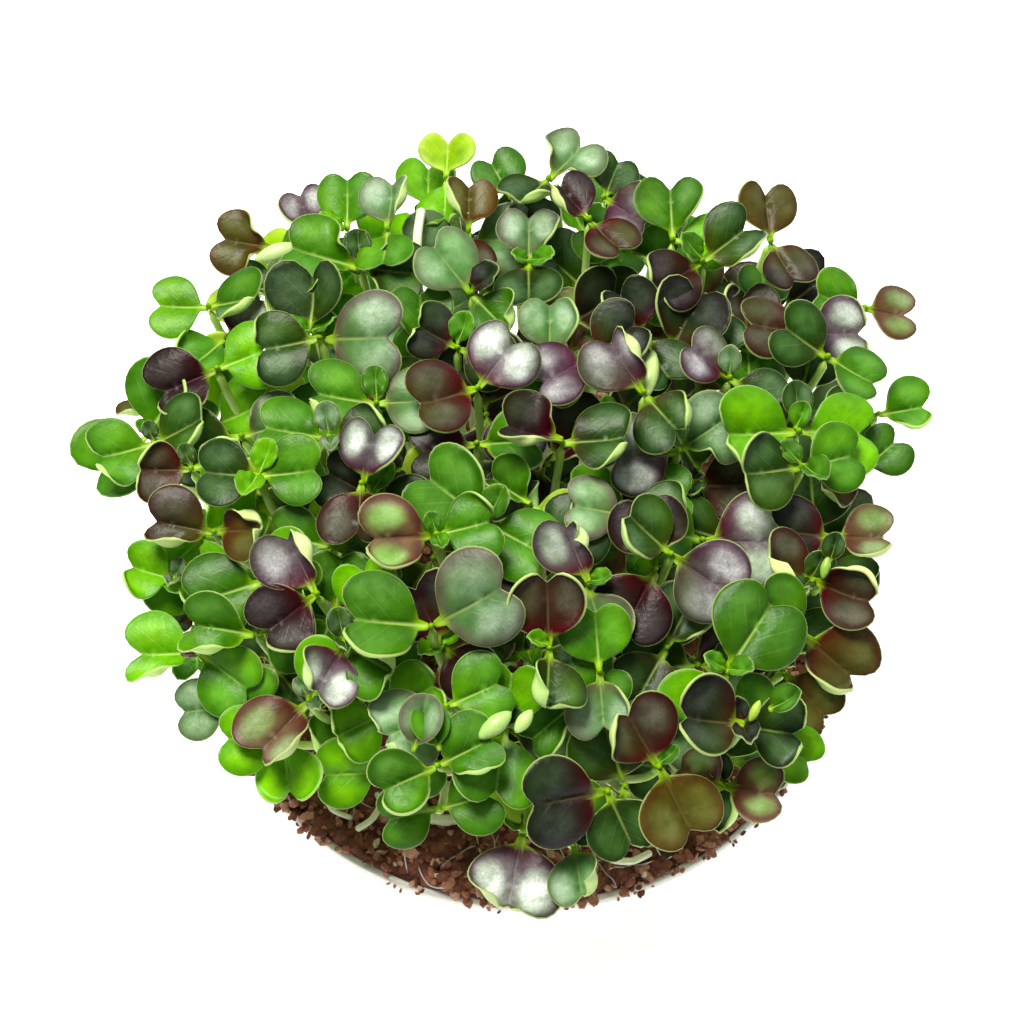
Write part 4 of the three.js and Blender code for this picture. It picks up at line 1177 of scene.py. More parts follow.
class PlantPart:
    """Gathers pressed and drawn-out balls, then makes one mesh of them."""

    def __init__(self):
        self.mesh = bmesh.new()
        self.points, self.upper, self.under, self.marks, self.place = [], [], [], [], []
        self.materials = []

    def add(self, spokes, rings, material_index, points, upper, under, marks, place):
        ball = ball_pattern(spokes, rings).data
        self.mesh.from_mesh(ball)
        self.materials.append(np.full(len(ball.polygons), material_index))
        self.points.append(points * MM)
        for store, values in (
            (self.upper, upper), (self.under, under), (self.marks, marks), (self.place, place),
        ):
            store.append(np.broadcast_to(values, (len(points), len(values[0]))))

    def piece(self, name):
        data = bpy.data.meshes.new(name)
        self.mesh.to_mesh(data)
        self.mesh.free()
        data.vertices.foreach_set("co", np.vstack(self.points).ravel())
        data.polygons.foreach_set("material_index", np.concatenate(self.materials))
        for layer, kind, key, store in (
            ("upper_colour", "FLOAT_COLOR", "color", self.upper),
            ("under_colour", "FLOAT_COLOR", "color", self.under),
            ("leaf_marks", "FLOAT_VECTOR", "vector", self.marks),
            ("leaf_place", "FLOAT_VECTOR", "vector", self.place),
        ):
            attribute = data.attributes.new(layer, kind, "POINT")
            attribute.data.foreach_set(key, np.vstack(store).ravel())
        data.shade_smooth()
        data.update()
        return as_piece(data, [LEAF, STEM])


def as_piece(data, materials):
    piece = bpy.data.objects.new(data.name, data)
    bpy.context.scene.collection.objects.link(piece)
    for material in materials:
        data.materials.append(material)
    return piece


print("corners of a leaf:", len(ball_pattern(60, 16).share))

# %% [markdown]
# ## Twelve kinds of leaf
#
# Pak choi is grown from mixed seed, so plain green leaves stand beside olive, maroon
# and purple ones, and some wear a silver bloom. One leaf also changes colour over its
# two lobes, towards its margin and to one side. A painted picture for each leaf would
# hold more than the eye sees here. Four colours a kind, blended at the corners of the
# mesh, give each leaf its own look.

# %% Colours of each kind of leaf
# The upper side, the middle of its two lobes, its margin and its underside, then how silver its bloom
# and painted sheen are, and whether its rib is dark (0) or pale (1).
LEAF_LOOKS = {
    "lime": ("90ac50", "8cae46", "aac068", "bed48c", 0.0, 1.0),
    "bright": ("5a9428", "70a636", "4e8422", "bee27d", 0.0, 1.0),
    "green": ("3b6a20", "52842e", "33591a", "bce082", 0.03, 0.9),
    "dark": ("203a14", "33561e", "1b2e10", "b6da82", 0.06, 0.6),
    "black": ("12160e", "1a2612", "140d0c", "c9e094", 0.05, 0.1),
    "sage": ("4c7240", "628e4a", "5a4c4c", "c3e294", 0.32, 0.5),
    "silver": ("3c2a36", "6a8c58", "301a28", "c2d894", 0.95, 0.0),
    "olive": ("433f1c", "4f5320", "422a1a", "c0d68a", 0.03, 0.1),
    "brown": ("2e1e12", "343616", "2c130f", "cbe090", 0.06, 0.1),
    "rosy": ("5c4a34", "6c9a3e", "4a2a2c", "c4d896", 0.16, 0.0),
    "maroon": ("1a090c", "1e0f0d", "18070a", "c7de90", 0.06, 0.0),
    "purple": ("3e2436", "43343e", "2e1624", "cbe099", 0.5, 0.0),
}
PETIOLE_COLOUR = "86a848"
BLUSH_COLOUR = "42141a"
# The colour that each kind drifts to on one side.
PARTNERS = {
    "maroon": "2e3e18", "brown": "435220", "olive": "4c3420", "black": "284414",
    "silver": "668a52", "sage": "586048", "purple": "46602e", "green": "5e8e30",
    "dark": "42601c", "rosy": "5e7a34", "bright": "78b82e", "lime": "6a9a34",
}


def linear(hex_value):
    return np.array(colour(hex_value)[:3])


print("kinds of leaf:", ", ".join(LEAF_LOOKS))

# %% [markdown]
# ## Curled rims
#
# Many of the leaves have one edge folded over, which shows their pale underside as a
# lip or a tongue. Cloth simulation could fold them, but not where the photo has them.
# Here each fold is a part of the leaf that rolls over about a line, after which the
# rest lies flat again, and its direction says where on the leaf that is.

# %% Which leaves fold, and how
# Each entry has a row and a leaf, then where on the leaf the fold lies in the picture
# in degrees (0 is right, 90 is up), how far round it spreads, how far it turns, and
# where it starts as a share of the way to the edge.
CURLS = {
    (6, 0): (90, 140, 75, 0.6),
    (6, 1): (225, 100, 145, 0.34),
    (8, 0): (180, 140, 62, 0.6),
    (14, 0): (-50, 90, 135, 0.4),
    (16, 1): (40, 60, 100, 0.55),
    (17, 0): (150, 60, 70, 0.6),
    (18, 0): (16, 80, 150, 0.26),
    (18, 1): (-70, 110, 60, 0.6),
    (19, 0): (30, 60, 145, 0.4),
    (19, 1): (0, 60, 120, 0.5),
    (22, 1): (-40, 70, 130, 0.4),
    (26, 1): (-20, 80, 140, 0.35),
    (33, 1): (200, 60, 100, 0.55),
    (36, 0): (190, 100, 80, 0.55),
    (41, 0): (-60, 70, 90, 0.55),
    (43, 0): (60, 80, 120, 0.5),
    (43, 1): (232, 75, 145, 0.3),
    (44, 0): (-60, 70, 100, 0.5),
    (52, 0): (-20, 80, 140, 0.3),
    (55, 0): (250, 90, 85, 0.55),
    (58, 0): (200, 70, 110, 0.5),
    (61, 0): (200, 70, 135, 0.4),
    (61, 1): (10, 85, 145, 0.32),
    (64, 0): (30, 75, 140, 0.36),
    (64, 1): (250, 60, 80, 0.55),
    (65, 0): (-80, 70, 125, 0.42),
    (65, 1): (0, 60, 130, 0.5),
    (68, 0): (-80, 75, 135, 0.4),
    (68, 1): (40, 100, 145, 0.32),
    (69, 0): (200, 60, 90, 0.55),
    (70, 0): (220, 60, 110, 0.5),
    (71, 1): (90, 60, 130, 0.45),
    (75, 1): (160, 60, 110, 0.5),
    (78, 1): (150, 100, 145, 0.32),
    (91, 1): (-50, 90, 135, 0.36),
    (94, 0): (-90, 95, 140, 0.34),
    (94, 1): (-30, 100, 135, 0.36),
    (97, 1): (-80, 100, 65, 0.6),
}
# Leaves whose colour in the scene differs from their table's: a dark inside under the pale fold, a
# calmer green, or, for many leaves at the front left, a lighter one.
RETINTS = {
    (5, 1): "green", (8, 1): "dark", (12, 0): "silver", (15, 0): "green", (16, 0): "rosy",
    (28, 0): "sage", (31, 0): "green", (43, 1): "brown", (46, 1): "black", (55, 0): "green",
    (56, 0): "green", (57, 1): "green", (58, 1): "bright", (59, 0): "bright", (60, 0): "rosy",
    (60, 1): "bright", (61, 1): "green", (62, 1): "green", (63, 1): "green", (64, 0): "purple",
    (65, 0): "green", (65, 1): "green", (66, 0): "bright", (68, 1): "olive", (69, 0): "bright",
    (70, 1): "dark", (74, 1): "bright", (75, 1): "green", (82, 1): "bright", (97, 0): "bright",
    (97, 1): "bright", (37, 0): "rosy", (41, 0): "rosy", (34, 0): "rosy",
}
NO_CURL = (0, 60, 0, 0.6)
STALK_STIFFNESS = 0.5


def curl_at(curl, angle):
    """How far the edge turns over: fully within the spread, and never at the stalk."""
    direction, spread, turn, _ = curl
    gap = (angle - math.radians(direction) + math.pi) % (2 * math.pi) - math.pi
    free = 1 - np.exp(-(((math.pi - np.abs(angle)) / STALK_STIFFNESS) ** 2))
    return math.radians(turn) * np.exp(-((gap / math.radians(spread)) ** 4)) * free


print("leaves with a curl of their own:", len(CURLS))

# %% Give every leaf its look
# A stray curl is one that no entry above asks for. It faces the camera's side.
STRAY_CURLS = 0.45
STRAY_FACING = -90
STRAY_START = (0.38, 0.62)


def leaf_look(seed, tint, heading, curl=None):
    """Colours, curl and small irregularities of one leaf, from seeded draws."""
    draw = seeded_draws(seed)
    upper, lobes, margin, under, bloom_and_sheen, rib = LEAF_LOOKS[tint]
    brightness = lerp(0.75, 1.22, draw())
    stray = draw() < STRAY_CURLS
    facing = STRAY_FACING + lerp(-110, 110, draw())
    stray_curl = (facing, lerp(45, 80, draw()), lerp(60, 140, draw()), lerp(*STRAY_START, draw()))
    curl = curl or (stray_curl if stray else NO_CURL)
    return SimpleNamespace(
        upper=linear(upper) * brightness,
        lobes=linear(lobes) * brightness,
        margin=linear(margin) * brightness,
        partner=linear(PARTNERS[tint]) * brightness,
        under=linear(under) * lerp(0.8, 1.05, draw()),
        bloom_and_sheen=bloom_and_sheen * lerp(0.6, 1.15, draw()),
        rib=rib,
        lobe_share=lerp(0.35, 0.95, draw()),
        margin_share=lerp(0.3, 0.9, draw()),
        partner_share=lerp(0.0, 0.85, draw()),
        partner_turn=lerp(0, 2 * math.pi, draw()),
        blush=lerp(0.2, 1.0, draw()) * (1 - rib),
        curl=(curl[0] - heading, *curl[1:]),
        waves=lerp(0.01, 0.04, draw()),
        wave_phase=lerp(0, 2 * math.pi, draw()),
        wave_count=2 + int(3 * draw()),
    )


print("first leaf's bloom:", round(leaf_look(1000, "silver", 0).bloom_and_sheen, 2))

# %% [markdown]
# ## Pressing the ball into a leaf
#
# A seed leaf is under half a millimetre thick, with a bead along its rim, two swollen
# lobes and a groove over its rib. Each corner of the ball first gets its place on the
# flat leaf. Then the bowl, the lobes, the waves and the groove lift it, the fold rolls
# it over, and half the leaf's thickness moves it to its own skin. Sculpting would do
# the same by hand, but not for hundreds of leaves.

# %% The outline with its stalk, and the thickness
SKIN = 0.22
RIM_BEAD = 0.04
STALK_END = 0.15
STALK_DEPTH = 0.42


def leaf_edge(blade, angle):
    """The leaf's outline with its stalk, as a distance from the leaf's middle."""
    outline = outline_radius(blade, angle)
    off_axis = np.maximum(np.abs(np.sin(angle)), TINY)
    stalk = np.minimum(blade.middle - STALK_END, STALK_HALF_WIDTH / off_axis)
    return np.where(np.abs(angle) > math.pi / 2, np.maximum(outline, stalk), outline)


def skin_depth(blade, edge, share, ahead, across):
    """Half the leaf's thickness: round at the rim, with a bead just inside it."""
    inset = np.minimum(1.0, (1 - share) * edge / SKIN)
    round_rim = np.sqrt(np.clip(1 - (1 - inset) ** 2, 0, 1))
    bead = RIM_BEAD * np.exp(-(((share - 0.95) / 0.04) ** 2))
    stalk = smooth_step(blade.petiole + 1.2, blade.petiole - 0.8, ahead)
    stalk = stalk * np.exp(-((across / 0.45) ** 2))
    return round_rim * (SKIN + bead + (STALK_DEPTH - SKIN) * stalk)


print("a leaf is", 2 * SKIN, "mm thick, and its stalk", 2 * STALK_DEPTH, "mm deep")

# %% Roll the folded edge over, and place every corner
LOBE_CROWN = 0.11
BASE_CROWDING = 0.45
RIB_DEPTH = 0.26
FLAT_TURN = 1e-4
BEND_ARC = 1.7
BEND_SHARE = 0.6


def fold_over(blade, curl, angle, reach):
    """The reach in the leaf's plane after the fold, the lift above it, and the turn.

    Up to the fold's start the leaf lies flat. Then it follows a short arc, and what is
    left of it goes straight on at the angle that the arc ends with.
    """
    turn = np.maximum(curl_at(curl, angle), FLAT_TURN)
    full = blade.width * (BROAD - OVAL * np.cos(2 * angle))
    start = curl[3] * full
    arc = np.minimum(BEND_ARC, BEND_SHARE * (full - start))
    radius = arc / turn
    beyond = np.maximum(reach - start, 0)
    roll = np.minimum(beyond, arc) / radius
    flap = np.maximum(beyond - arc, 0)
    reach = np.minimum(reach, start) + radius * np.sin(roll) + flap * np.cos(roll)
    return reach, radius * (1 - np.cos(roll)) + flap * np.sin(roll), roll


def leaf_corners(blade, look, pattern):
    """The corners' places about the knuckle, in mm, and their places on the leaf."""
    share, side = pattern.share, pattern.side
    spoke = pattern.longitude / math.pi
    angle = math.pi * (spoke + BASE_CROWDING * np.sin(math.pi * spoke) / math.pi)
    edge = leaf_edge(blade, angle)
    reach, lift, roll = fold_over(blade, look.curl, angle, share * edge)
    forward = reach * np.cos(angle)
    across = reach * np.sin(angle)
    flat_across = share * edge * np.sin(angle)
    flat_ahead = blade.middle + share * edge * np.cos(angle)
    half = blade.width / 2
    lobe = np.minimum(1.0, np.abs(across) / half)
    rise = blade_rise(blade, forward, across)
    rise = rise + half * LOBE_CROWN * 4 * lobe * (1 - lobe) * (flat_ahead > blade.petiole)
    rise = rise + half * look.waves * share ** 3 * np.sin(look.wave_count * angle + look.wave_phase)
    rise = rise - RIB_DEPTH * np.exp(-((across / 0.5) ** 2)) * smooth_step(0.9, 0.2, share) * (side > 0)
    rise = rise + lift
    depth = side * skin_depth(blade, edge, share, flat_ahead, flat_across)
    forward = forward - depth * np.sin(roll) * np.cos(angle)
    across = across - depth * np.sin(roll) * np.sin(angle)
    rise = rise + depth * np.cos(roll)
    points = (
        (blade.middle + forward)[:, None] * blade.along + across[:, None] * blade.side
        + rise[:, None] * blade.normal
    )
    return points, flat_across / blade.width, (flat_ahead - blade.petiole) / blade.width


print("a fold bends over an arc of at most", BEND_ARC, "mm")

# %% Colour the corners, and add a leaf to a piece
LOBE_ACROSS, LOBE_AHEAD = 0.24, 0.46
LOBE_HALF_WIDTH, LOBE_HALF_LENGTH = 0.20, 0.30
CURL_NEEDS_RINGS = 50
CURL_RINGS = 6


def blend(first, second, share):
    return first + (second - first) * share[:, None]


def corner_colours(look, across, ahead, share):
    """The upper side's colour, its bloom with its painted sheen, and how far a corner belongs to the
    stalk.
    """
    off_lobe = ((np.abs(across) - LOBE_ACROSS) / LOBE_HALF_WIDTH) ** 2
    off_lobe = off_lobe + ((ahead - LOBE_AHEAD) / LOBE_HALF_LENGTH) ** 2
    lobe = smooth_step(0.0, 1.0, 1 - off_lobe)
    lean = math.cos(look.partner_turn) * across + math.sin(look.partner_turn) * (ahead - 0.47)
    tone = blend(look.upper, look.lobes, lobe * look.lobe_share)
    tone = blend(tone, look.partner, look.partner_share * smooth_step(-0.15, 0.55, lean))
    tone = blend(tone, look.margin, look.margin_share * smooth_step(0.6, 0.98, share))
    tone = blend(tone, linear(BLUSH_COLOUR), look.blush * np.exp(-((ahead / 0.2) ** 2)))
    stalk = smooth_step(0.07, -0.02, ahead)
    tone = blend(tone, linear(PETIOLE_COLOUR), stalk)
    # The bloom mask, strongest over the lobes: partly real wax bloom, partly painted sheen.
    bloom_and_sheen = look.bloom_and_sheen * (0.22 + 0.78 * lobe) * smooth_step(0.04, 0.42, ahead)
    bloom_and_sheen = bloom_and_sheen * (0.45 + 0.55 * smooth_step(-0.35, 0.25, -lean))
    return tone, bloom_and_sheen * smooth_step(0.99, 0.8, share), stalk


def add_leaf(part, home, blade, look, spokes, rings):
    """Adds one leaf, with a few more rings where its edge folds over sharply."""
    if look.curl[2] > CURL_NEEDS_RINGS:
        rings += CURL_RINGS
    pattern = ball_pattern(spokes, rings)
    points, across, ahead = leaf_corners(blade, look, pattern)
    tone, bloom_and_sheen, stalk = corner_colours(look, across, ahead, pattern.share)
    count = len(points)
    upper = np.column_stack([tone, np.full(count, look.rib)])
    under = blend(np.tile(look.under, (count, 1)), linear(PETIOLE_COLOUR), stalk)
    part.add(
        spokes, rings, LEAF_SLOT, points + home, upper,
        np.column_stack([under, np.ones(count)]),
        np.column_stack([pattern.share * (1 - stalk), bloom_and_sheen, (pattern.side + 1) / 2]),
        np.column_stack([across, ahead, np.zeros(count)]),
    )


print("leaves with more than", CURL_NEEDS_RINGS, "degrees of curl get", CURL_RINGS, "more rings")

# %% [markdown]
# ## Stems
#
# A stem is a round, juicy stalk, thickest at its foot and at the knuckle under its
# leaves. Blender's curves could carry a round profile, but their ends stay open or
# need caps. A ball drawn out along the path is closed at both ends, and each of its
# rings takes its own thickness and colour.

# %% Draw a ball out along a path
# The fades are shares of the stem's rise above the coir, between which it is thinnest.
# The foot, waist and neck are radii.
FOOT_FADE = 0.6
NECK_FADE = 0.93
STEM_SIDES = 10
STEM_RINGS = 26
STEM_FOOT, STEM_WAIST, STEM_NECK = 0.72, 0.60, 0.82
FOOT_COLOUR = "e6e9cc"
NECK_COLOUR = "93b848"
ROOT_HEIGHT = 10.3
FOOT_HEIGHTS = (ROOT_HEIGHT, 14, 17, 19)
TWIN_GAP = 0.62


def ring_frames(tangents):
    """Two directions across a stem at each of its points."""
    first = np.cross(tangents, (1.0, 0.3, 0.0))
    first = first / np.linalg.norm(first, axis=1)[:, None]
    second = np.cross(tangents, first)
    return first, second / np.linalg.norm(second, axis=1)[:, None]


def draw_out(part, points, radii, tones, sides):
    """Stretches a ball along a path: one ring of corners for each of its points."""
    rings = len(points) - 1
    pattern = ball_pattern(sides, rings)
    first, second = ring_frames(np.gradient(points, axis=0))
    k = pattern.ring
    across = pattern.round[:, :1] * first[k] + pattern.round[:, 1:] * second[k]
    tones = np.column_stack([tones, np.ones(len(tones))])[k]
    part.add(
        sides, rings, STEM_SLOT, points[k] + np.asarray(radii)[k][:, None] * across, tones, tones,
        PLAIN_MARKS, PLAIN_PLACE,
    )


def add_stem(part, seedling, sides, rings):
    """One seedling's stem: straight in the coir, then curved to its knuckle."""
    shares = np.linspace(0, 1, rings - 3)
    foot = np.array([(*seedling.root, height) for height in FOOT_HEIGHTS])
    points = np.vstack([foot, curve_points(seedling.controls, shares)])
    fade = np.clip((points[:, 2] - STRAIGHT_TO) / (seedling.z - STRAIGHT_TO), 0, 1)
    if seedling.twin >= 0:
        twin = seedlings[seedling.twin]
        apart = np.array((seedling.x - twin.x, seedling.y - twin.y))
        apart = apart / (math.hypot(*apart) + TINY) * TWIN_GAP
        points[:, :2] += apart * ((1 - fade) ** 2)[:, None]
    radii = np.interp(fade, (0, FOOT_FADE, NECK_FADE, 1),
                      (STEM_FOOT, STEM_WAIST, STEM_WAIST, STEM_NECK))
    tones = blend(linear(FOOT_COLOUR), linear(NECK_COLOUR), smooth_step(0.15, 1.0, fade))
    draw_out(part, points, radii, tones, sides)


print("stems are", 2 * STEM_WAIST, "mm thick, and", 2 * STEM_NECK, "mm under their leaves")

# %% [markdown]
# ## Buds and true leaves
#
# Between its two seed leaves each seedling has a growing point, and about a third of
# them already open their first true leaves: narrow, wrinkled and without a notch. The
# bud is one more small ball. A true leaf is the seed leaf's shape with other numbers,
# because a second way of making leaves would only repeat the first.

# %% The bud between the seed leaves
BUD_COLOUR = "7aa43a"
BUD_RISE = 1.3
BUD_SIZE = 0.55
BUD_SIDES, BUD_RINGS = 8, 6
BUD_TAPER = 0.35
BUD_ABOVE_KNUCKLE = 0.35


def add_bud(part, seedling, size, tone):
    """The growing point: a small pointed ball on the knuckle."""
    pattern = ball_pattern(BUD_SIDES, BUD_RINGS)
    height = np.cos(math.pi * (1 - pattern.ring / BUD_RINGS))
    lean = unit(sum(blade.normal for blade in seedling.blades))
    first, second = ring_frames(lean[None, :])
    width = pattern.share * (1 - BUD_TAPER * (height + 1) / 2)
    points = (
        width[:, None] * (pattern.round[:, :1] * first + pattern.round[:, 1:] * second)
        + (BUD_RISE * (height + 0.6))[:, None] * lean
    )
    home = np.array((seedling.x, seedling.y, seedling.z + BUD_ABOVE_KNUCKLE))
    colours = np.array([(*tone, 1)])
    part.add(BUD_SIDES, BUD_RINGS, LEAF_SLOT, home + size * points, colours, colours,
             PLAIN_MARKS, PLAIN_PLACE)


print("a bud is about", round(2 * BUD_SIZE, 1), "mm thick")

# %% The first true leaves
TRUE_LEAF_SEED = 5000
TRUE_LEAF_LOOK_SEED = 7000
TRUE_LEAF_WAVES = 7
TRUE_LEAF_WAVINESS = 0.09
TRUE_LEAF_ABOVE_KNUCKLE = 0.5
TRUE_LEAF_SHARE = 0.36
TRUE_LEAF_SIZES = (3.2, 6.2)
TRUE_LEAF_NARROW = 0.72
TRUE_LEAF_RISE = (0.35, 0.9)
TRUE_LEAF_TINTS = ("green", "dark", "bright", "green", "sage", "black", "dark")
TRUE_LEAF_DETAIL = (28, 8)


def true_leaf_blade(heading, size, steepness, draw):
    ahead = np.array((math.cos(heading), math.sin(heading), steepness))
    along = unit(ahead)
    side = unit(np.cross((0, 0, 1), along))
    return SimpleNamespace(
        along=along, normal=np.cross(along, side), side=side * TRUE_LEAF_NARROW, width=size,
        petiole=0.12 * size, middle=0.55 * size, notch=lerp(-0.06, 0.02, draw()),
        lopsided=lerp(-0.08, 0.08, draw()), fold=lerp(0.15, 0.45, draw()), bowl=lerp(0.0, 0.2, draw()),
    )


def add_true_leaves(part, seedling):
    draw = seeded_draws(TRUE_LEAF_SEED + seedling.index)
    if draw() > TRUE_LEAF_SHARE:
        return
    tint = TRUE_LEAF_TINTS[int(len(TRUE_LEAF_TINTS) * draw())]
    turn = math.radians(sum(seedling.headings) / 2 + lerp(-25, 25, draw()))
    for k in range(1 + int(2 * draw())):
        size = lerp(*TRUE_LEAF_SIZES, draw())
        blade = true_leaf_blade(turn + k * math.pi, size, lerp(*TRUE_LEAF_RISE, draw()), draw)
        look = leaf_look(TRUE_LEAF_LOOK_SEED + 2 * seedling.index + k, tint, 0, NO_CURL)
        look.waves, look.wave_count = TRUE_LEAF_WAVINESS, TRUE_LEAF_WAVES
        home = (seedling.x, seedling.y, seedling.z + TRUE_LEAF_ABOVE_KNUCKLE)
        add_leaf(part, home, blade, look, *TRUE_LEAF_DETAIL)


with_true_leaves = [
    s for s in seedlings + late_seedlings
    if seeded_draws(TRUE_LEAF_SEED + s.index)() <= TRUE_LEAF_SHARE
]
print("seedlings with true leaves:", len(with_true_leaves))

# %% [markdown]
# ## Planting the seedlings
#
# Every solid that holds seedlings is replaced by one piece with the same seedlings in
# it, so that each can still be lifted out. The late seedlings have no solid. They lie
# deeper and show less, so they get fewer corners and share four pieces.

# %% Build one piece for each solid that holds seedlings
FINE_LEAF = (52, 16)
PLAIN_LEAF = (36, 10)
PLAIN_STEM = (8, 20)
LATE_GROUPS = 4
SEED_LEAF_LOOK_SEED = 1000


def plant(name, members, leaf_detail, stem_detail):
    part = PlantPart()
    for seedling in members:
        add_stem(part, seedling, *stem_detail)
        home = (seedling.x, seedling.y, seedling.z)
        for k in (0, 1):
            curl = CURLS.get((seedling.index + 1, k))
            seed = SEED_LEAF_LOOK_SEED + 2 * seedling.index + k
            tint = RETINTS.get((seedling.index + 1, k), seedling.tints[k])
            look = leaf_look(seed, tint, seedling.headings[k], curl)
            add_leaf(part, home, seedling.blades[k], look, *leaf_detail)
        add_bud(part, seedling, BUD_SIZE, linear(BUD_COLOUR))
        add_true_leaves(part, seedling)
    piece = part.piece(name)
    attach(piece, "root")
    return piece


for node in seedling_nodes:
    members = [seedlings[int(number) - 1] for number in node.split("_")[1:]]
    name = node.replace("seedlings", "leaves")
    plant(name, members, FINE_LEAF, (STEM_SIDES, STEM_RINGS))
    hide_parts(node)
for group in range(LATE_GROUPS):
    members = late_seedlings[group::LATE_GROUPS]
    plant(f"late_leaves_{group + 1}", members, PLAIN_LEAF, PLAIN_STEM)

# %% [markdown]
# ## The coir bed
#
# Seen close, the coir is a heap of chips and crumbs, not a smooth mound. A sculpted
# surface could hold the crumbs as relief, but real ones stand free and cast shadows.
# So a turned profile gives the bed its body, noise roughens its top, and loose crumbs
# and fibres lie over it.

# %% The tray's sizes, which the bed fits into
TRAY_BASE_RADIUS = 37
TRAY_RIM_RADIUS = 48
TRAY_HEIGHT = 18
TRAY_WALL = 1
TRAY_LIP = 1.6
TRAY_LIP_DEPTH = 1.8
TRAY_LIP_REACH = 0.9
TRAY_LIP_ROUND = 0.4
TOUCH_GAP = 0.3
print("tray, mm:", 2 * TRAY_RIM_RADIUS, "across the rim and", TRAY_HEIGHT, "high")

# %% Spin a profile about the axis
MERGE_GAP = 0.00001


def piece_from(mesh, name, material):
    data = bpy.data.meshes.new(name)
    mesh.to_mesh(data)
    mesh.free()
    return as_piece(data, [material])


def turned(profile, steps):
    """Spins a profile of radius and height pairs into a closed solid."""
    mesh = bmesh.new()
    verts = [mesh.verts.new((radius * MM, 0, height * MM)) for radius, height in profile]
    edges = [mesh.edges.new(pair) for pair in zip(verts, verts[1:])]
    bmesh.ops.spin(
        mesh, geom=verts + edges, cent=(0, 0, 0), axis=(0, 0, 1),
        angle=2 * math.pi, steps=steps, use_merge=True,
    )
    bmesh.ops.remove_doubles(mesh, verts=mesh.verts, dist=MERGE_GAP)
    bmesh.ops.recalc_face_normals(mesh, faces=mesh.faces)
    for face in mesh.faces:
        face.smooth = True
    return mesh


print("corners closer than", MERGE_GAP / MM, "mm are merged")

# %% The bed's body
COIR_EDGE_RADIUS = 47.1
COIR_EDGE_HEIGHT = 18.9
COIR_CROWN = 1
COIR_BUMP = 0.5
BED_STEPS = 220
BED_RINGS = 44
ROUGH_SIZE = 2.2
ROUGH_HEIGHT = 0.9


def coir_height(x, y):
    radius = math.hypot(x, y) / COIR_EDGE_RADIUS
    bumps = math.sin(0.71 * x + 1.3) * math.cos(0.63 * y - 0.4)
    bumps += 0.6 * math.sin(0.37 * x - 0.52 * y)
    return COIR_EDGE_HEIGHT + COIR_CROWN * (1 - radius * radius) + COIR_BUMP * bumps


def coir_edge(turn):
    return COIR_EDGE_RADIUS + 0.5 * math.sin(7 * turn + 0.6) + 0.35 * math.sin(13 * turn + 2.1)


def coir_bed():
    inside = TRAY_WALL + TOUCH_GAP
    lip_inner = TRAY_RIM_RADIUS - TRAY_LIP - TOUCH_GAP
    profile = [
        (0, inside), (TRAY_BASE_RADIUS - inside, inside), (lip_inner, TRAY_HEIGHT - TRAY_LIP_DEPTH),
        (lip_inner, TRAY_HEIGHT + TOUCH_GAP), (COIR_EDGE_RADIUS, TRAY_HEIGHT + TOUCH_GAP),
    ]
    profile += [(COIR_EDGE_RADIUS * k / BED_RINGS, COIR_EDGE_HEIGHT) for k in range(BED_RINGS, -1, -1)]
    mesh = turned(profile, BED_STEPS)
    shade = mesh.verts.layers.float.new("shade")
    for vert in mesh.verts:
        x, y = vert.co.x / MM, vert.co.y / MM
        vert[shade] = 0.2
        if vert.co.z / MM > COIR_EDGE_HEIGHT - 0.01:
            turn = math.atan2(y, x)
            stretch = coir_edge(turn) / COIR_EDGE_RADIUS
            rough = noise.noise(Vector((x, y, 0)) / ROUGH_SIZE)
            rough += 0.5 * noise.noise(Vector((x, y, 7)) / (ROUGH_SIZE / 2.3))
            height = coir_height(x, y) + ROUGH_HEIGHT * rough - 0.35
            vert.co = Vector((x * stretch, y * stretch, height)) * MM
            # The shade follows the same noise as the height, so the top is darker in its hollows and
            # lighter on its bumps.
            vert[shade] = min(1, max(0, 0.38 + 0.32 * rough))
    return piece_from(mesh, "coir", COIR)


bed = coir_bed()
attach(bed, "root")
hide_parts("coir_bed")
print("coir bed, mm:", [round(size / MM, 1) for size in bed.dimensions])

# %% [markdown]
# ## Loose crumbs
#
# Thousands of crumbs of about a millimetre or less cover the bed, and some spill over
# its edge. Scattering copies with geometry nodes is quick too, but one mesh of
# small balls, each with its own place, stretch, dents and shade, shows every step. A
# crumb has only 20 triangles, because so many of them are needed. They lie thickest
# along the edge, where the bed shows.

# %% Scatter the crumbs
CRUMB_SEED = 5
CRUMBS = 5000
CRUMB_SIZES = (0.32, 1.05)
SPILL_RADIUS = 48.4
SPILL_FROM = 47.3
SPILL_DROP = 1.5
EDGE_CROWDING = 0.36
PALE_CRUMBS = 0.035
PALE_CRUMB_SHADE = 0.97


def crumb_places(rng, count):
    """Places on the bed, more often near its edge than at its middle."""
    turn = rng.uniform(0, 2 * math.pi, count)
    radius = SPILL_RADIUS * rng.uniform(0, 1, count) ** EDGE_CROWDING
    x, y = radius * np.cos(turn), radius * np.sin(turn)
    spilt = SPILL_DROP * np.maximum(radius - SPILL_FROM, 0)
    return np.stack([x, y, np.vectorize(coir_height)(x, y) - spilt], 1)


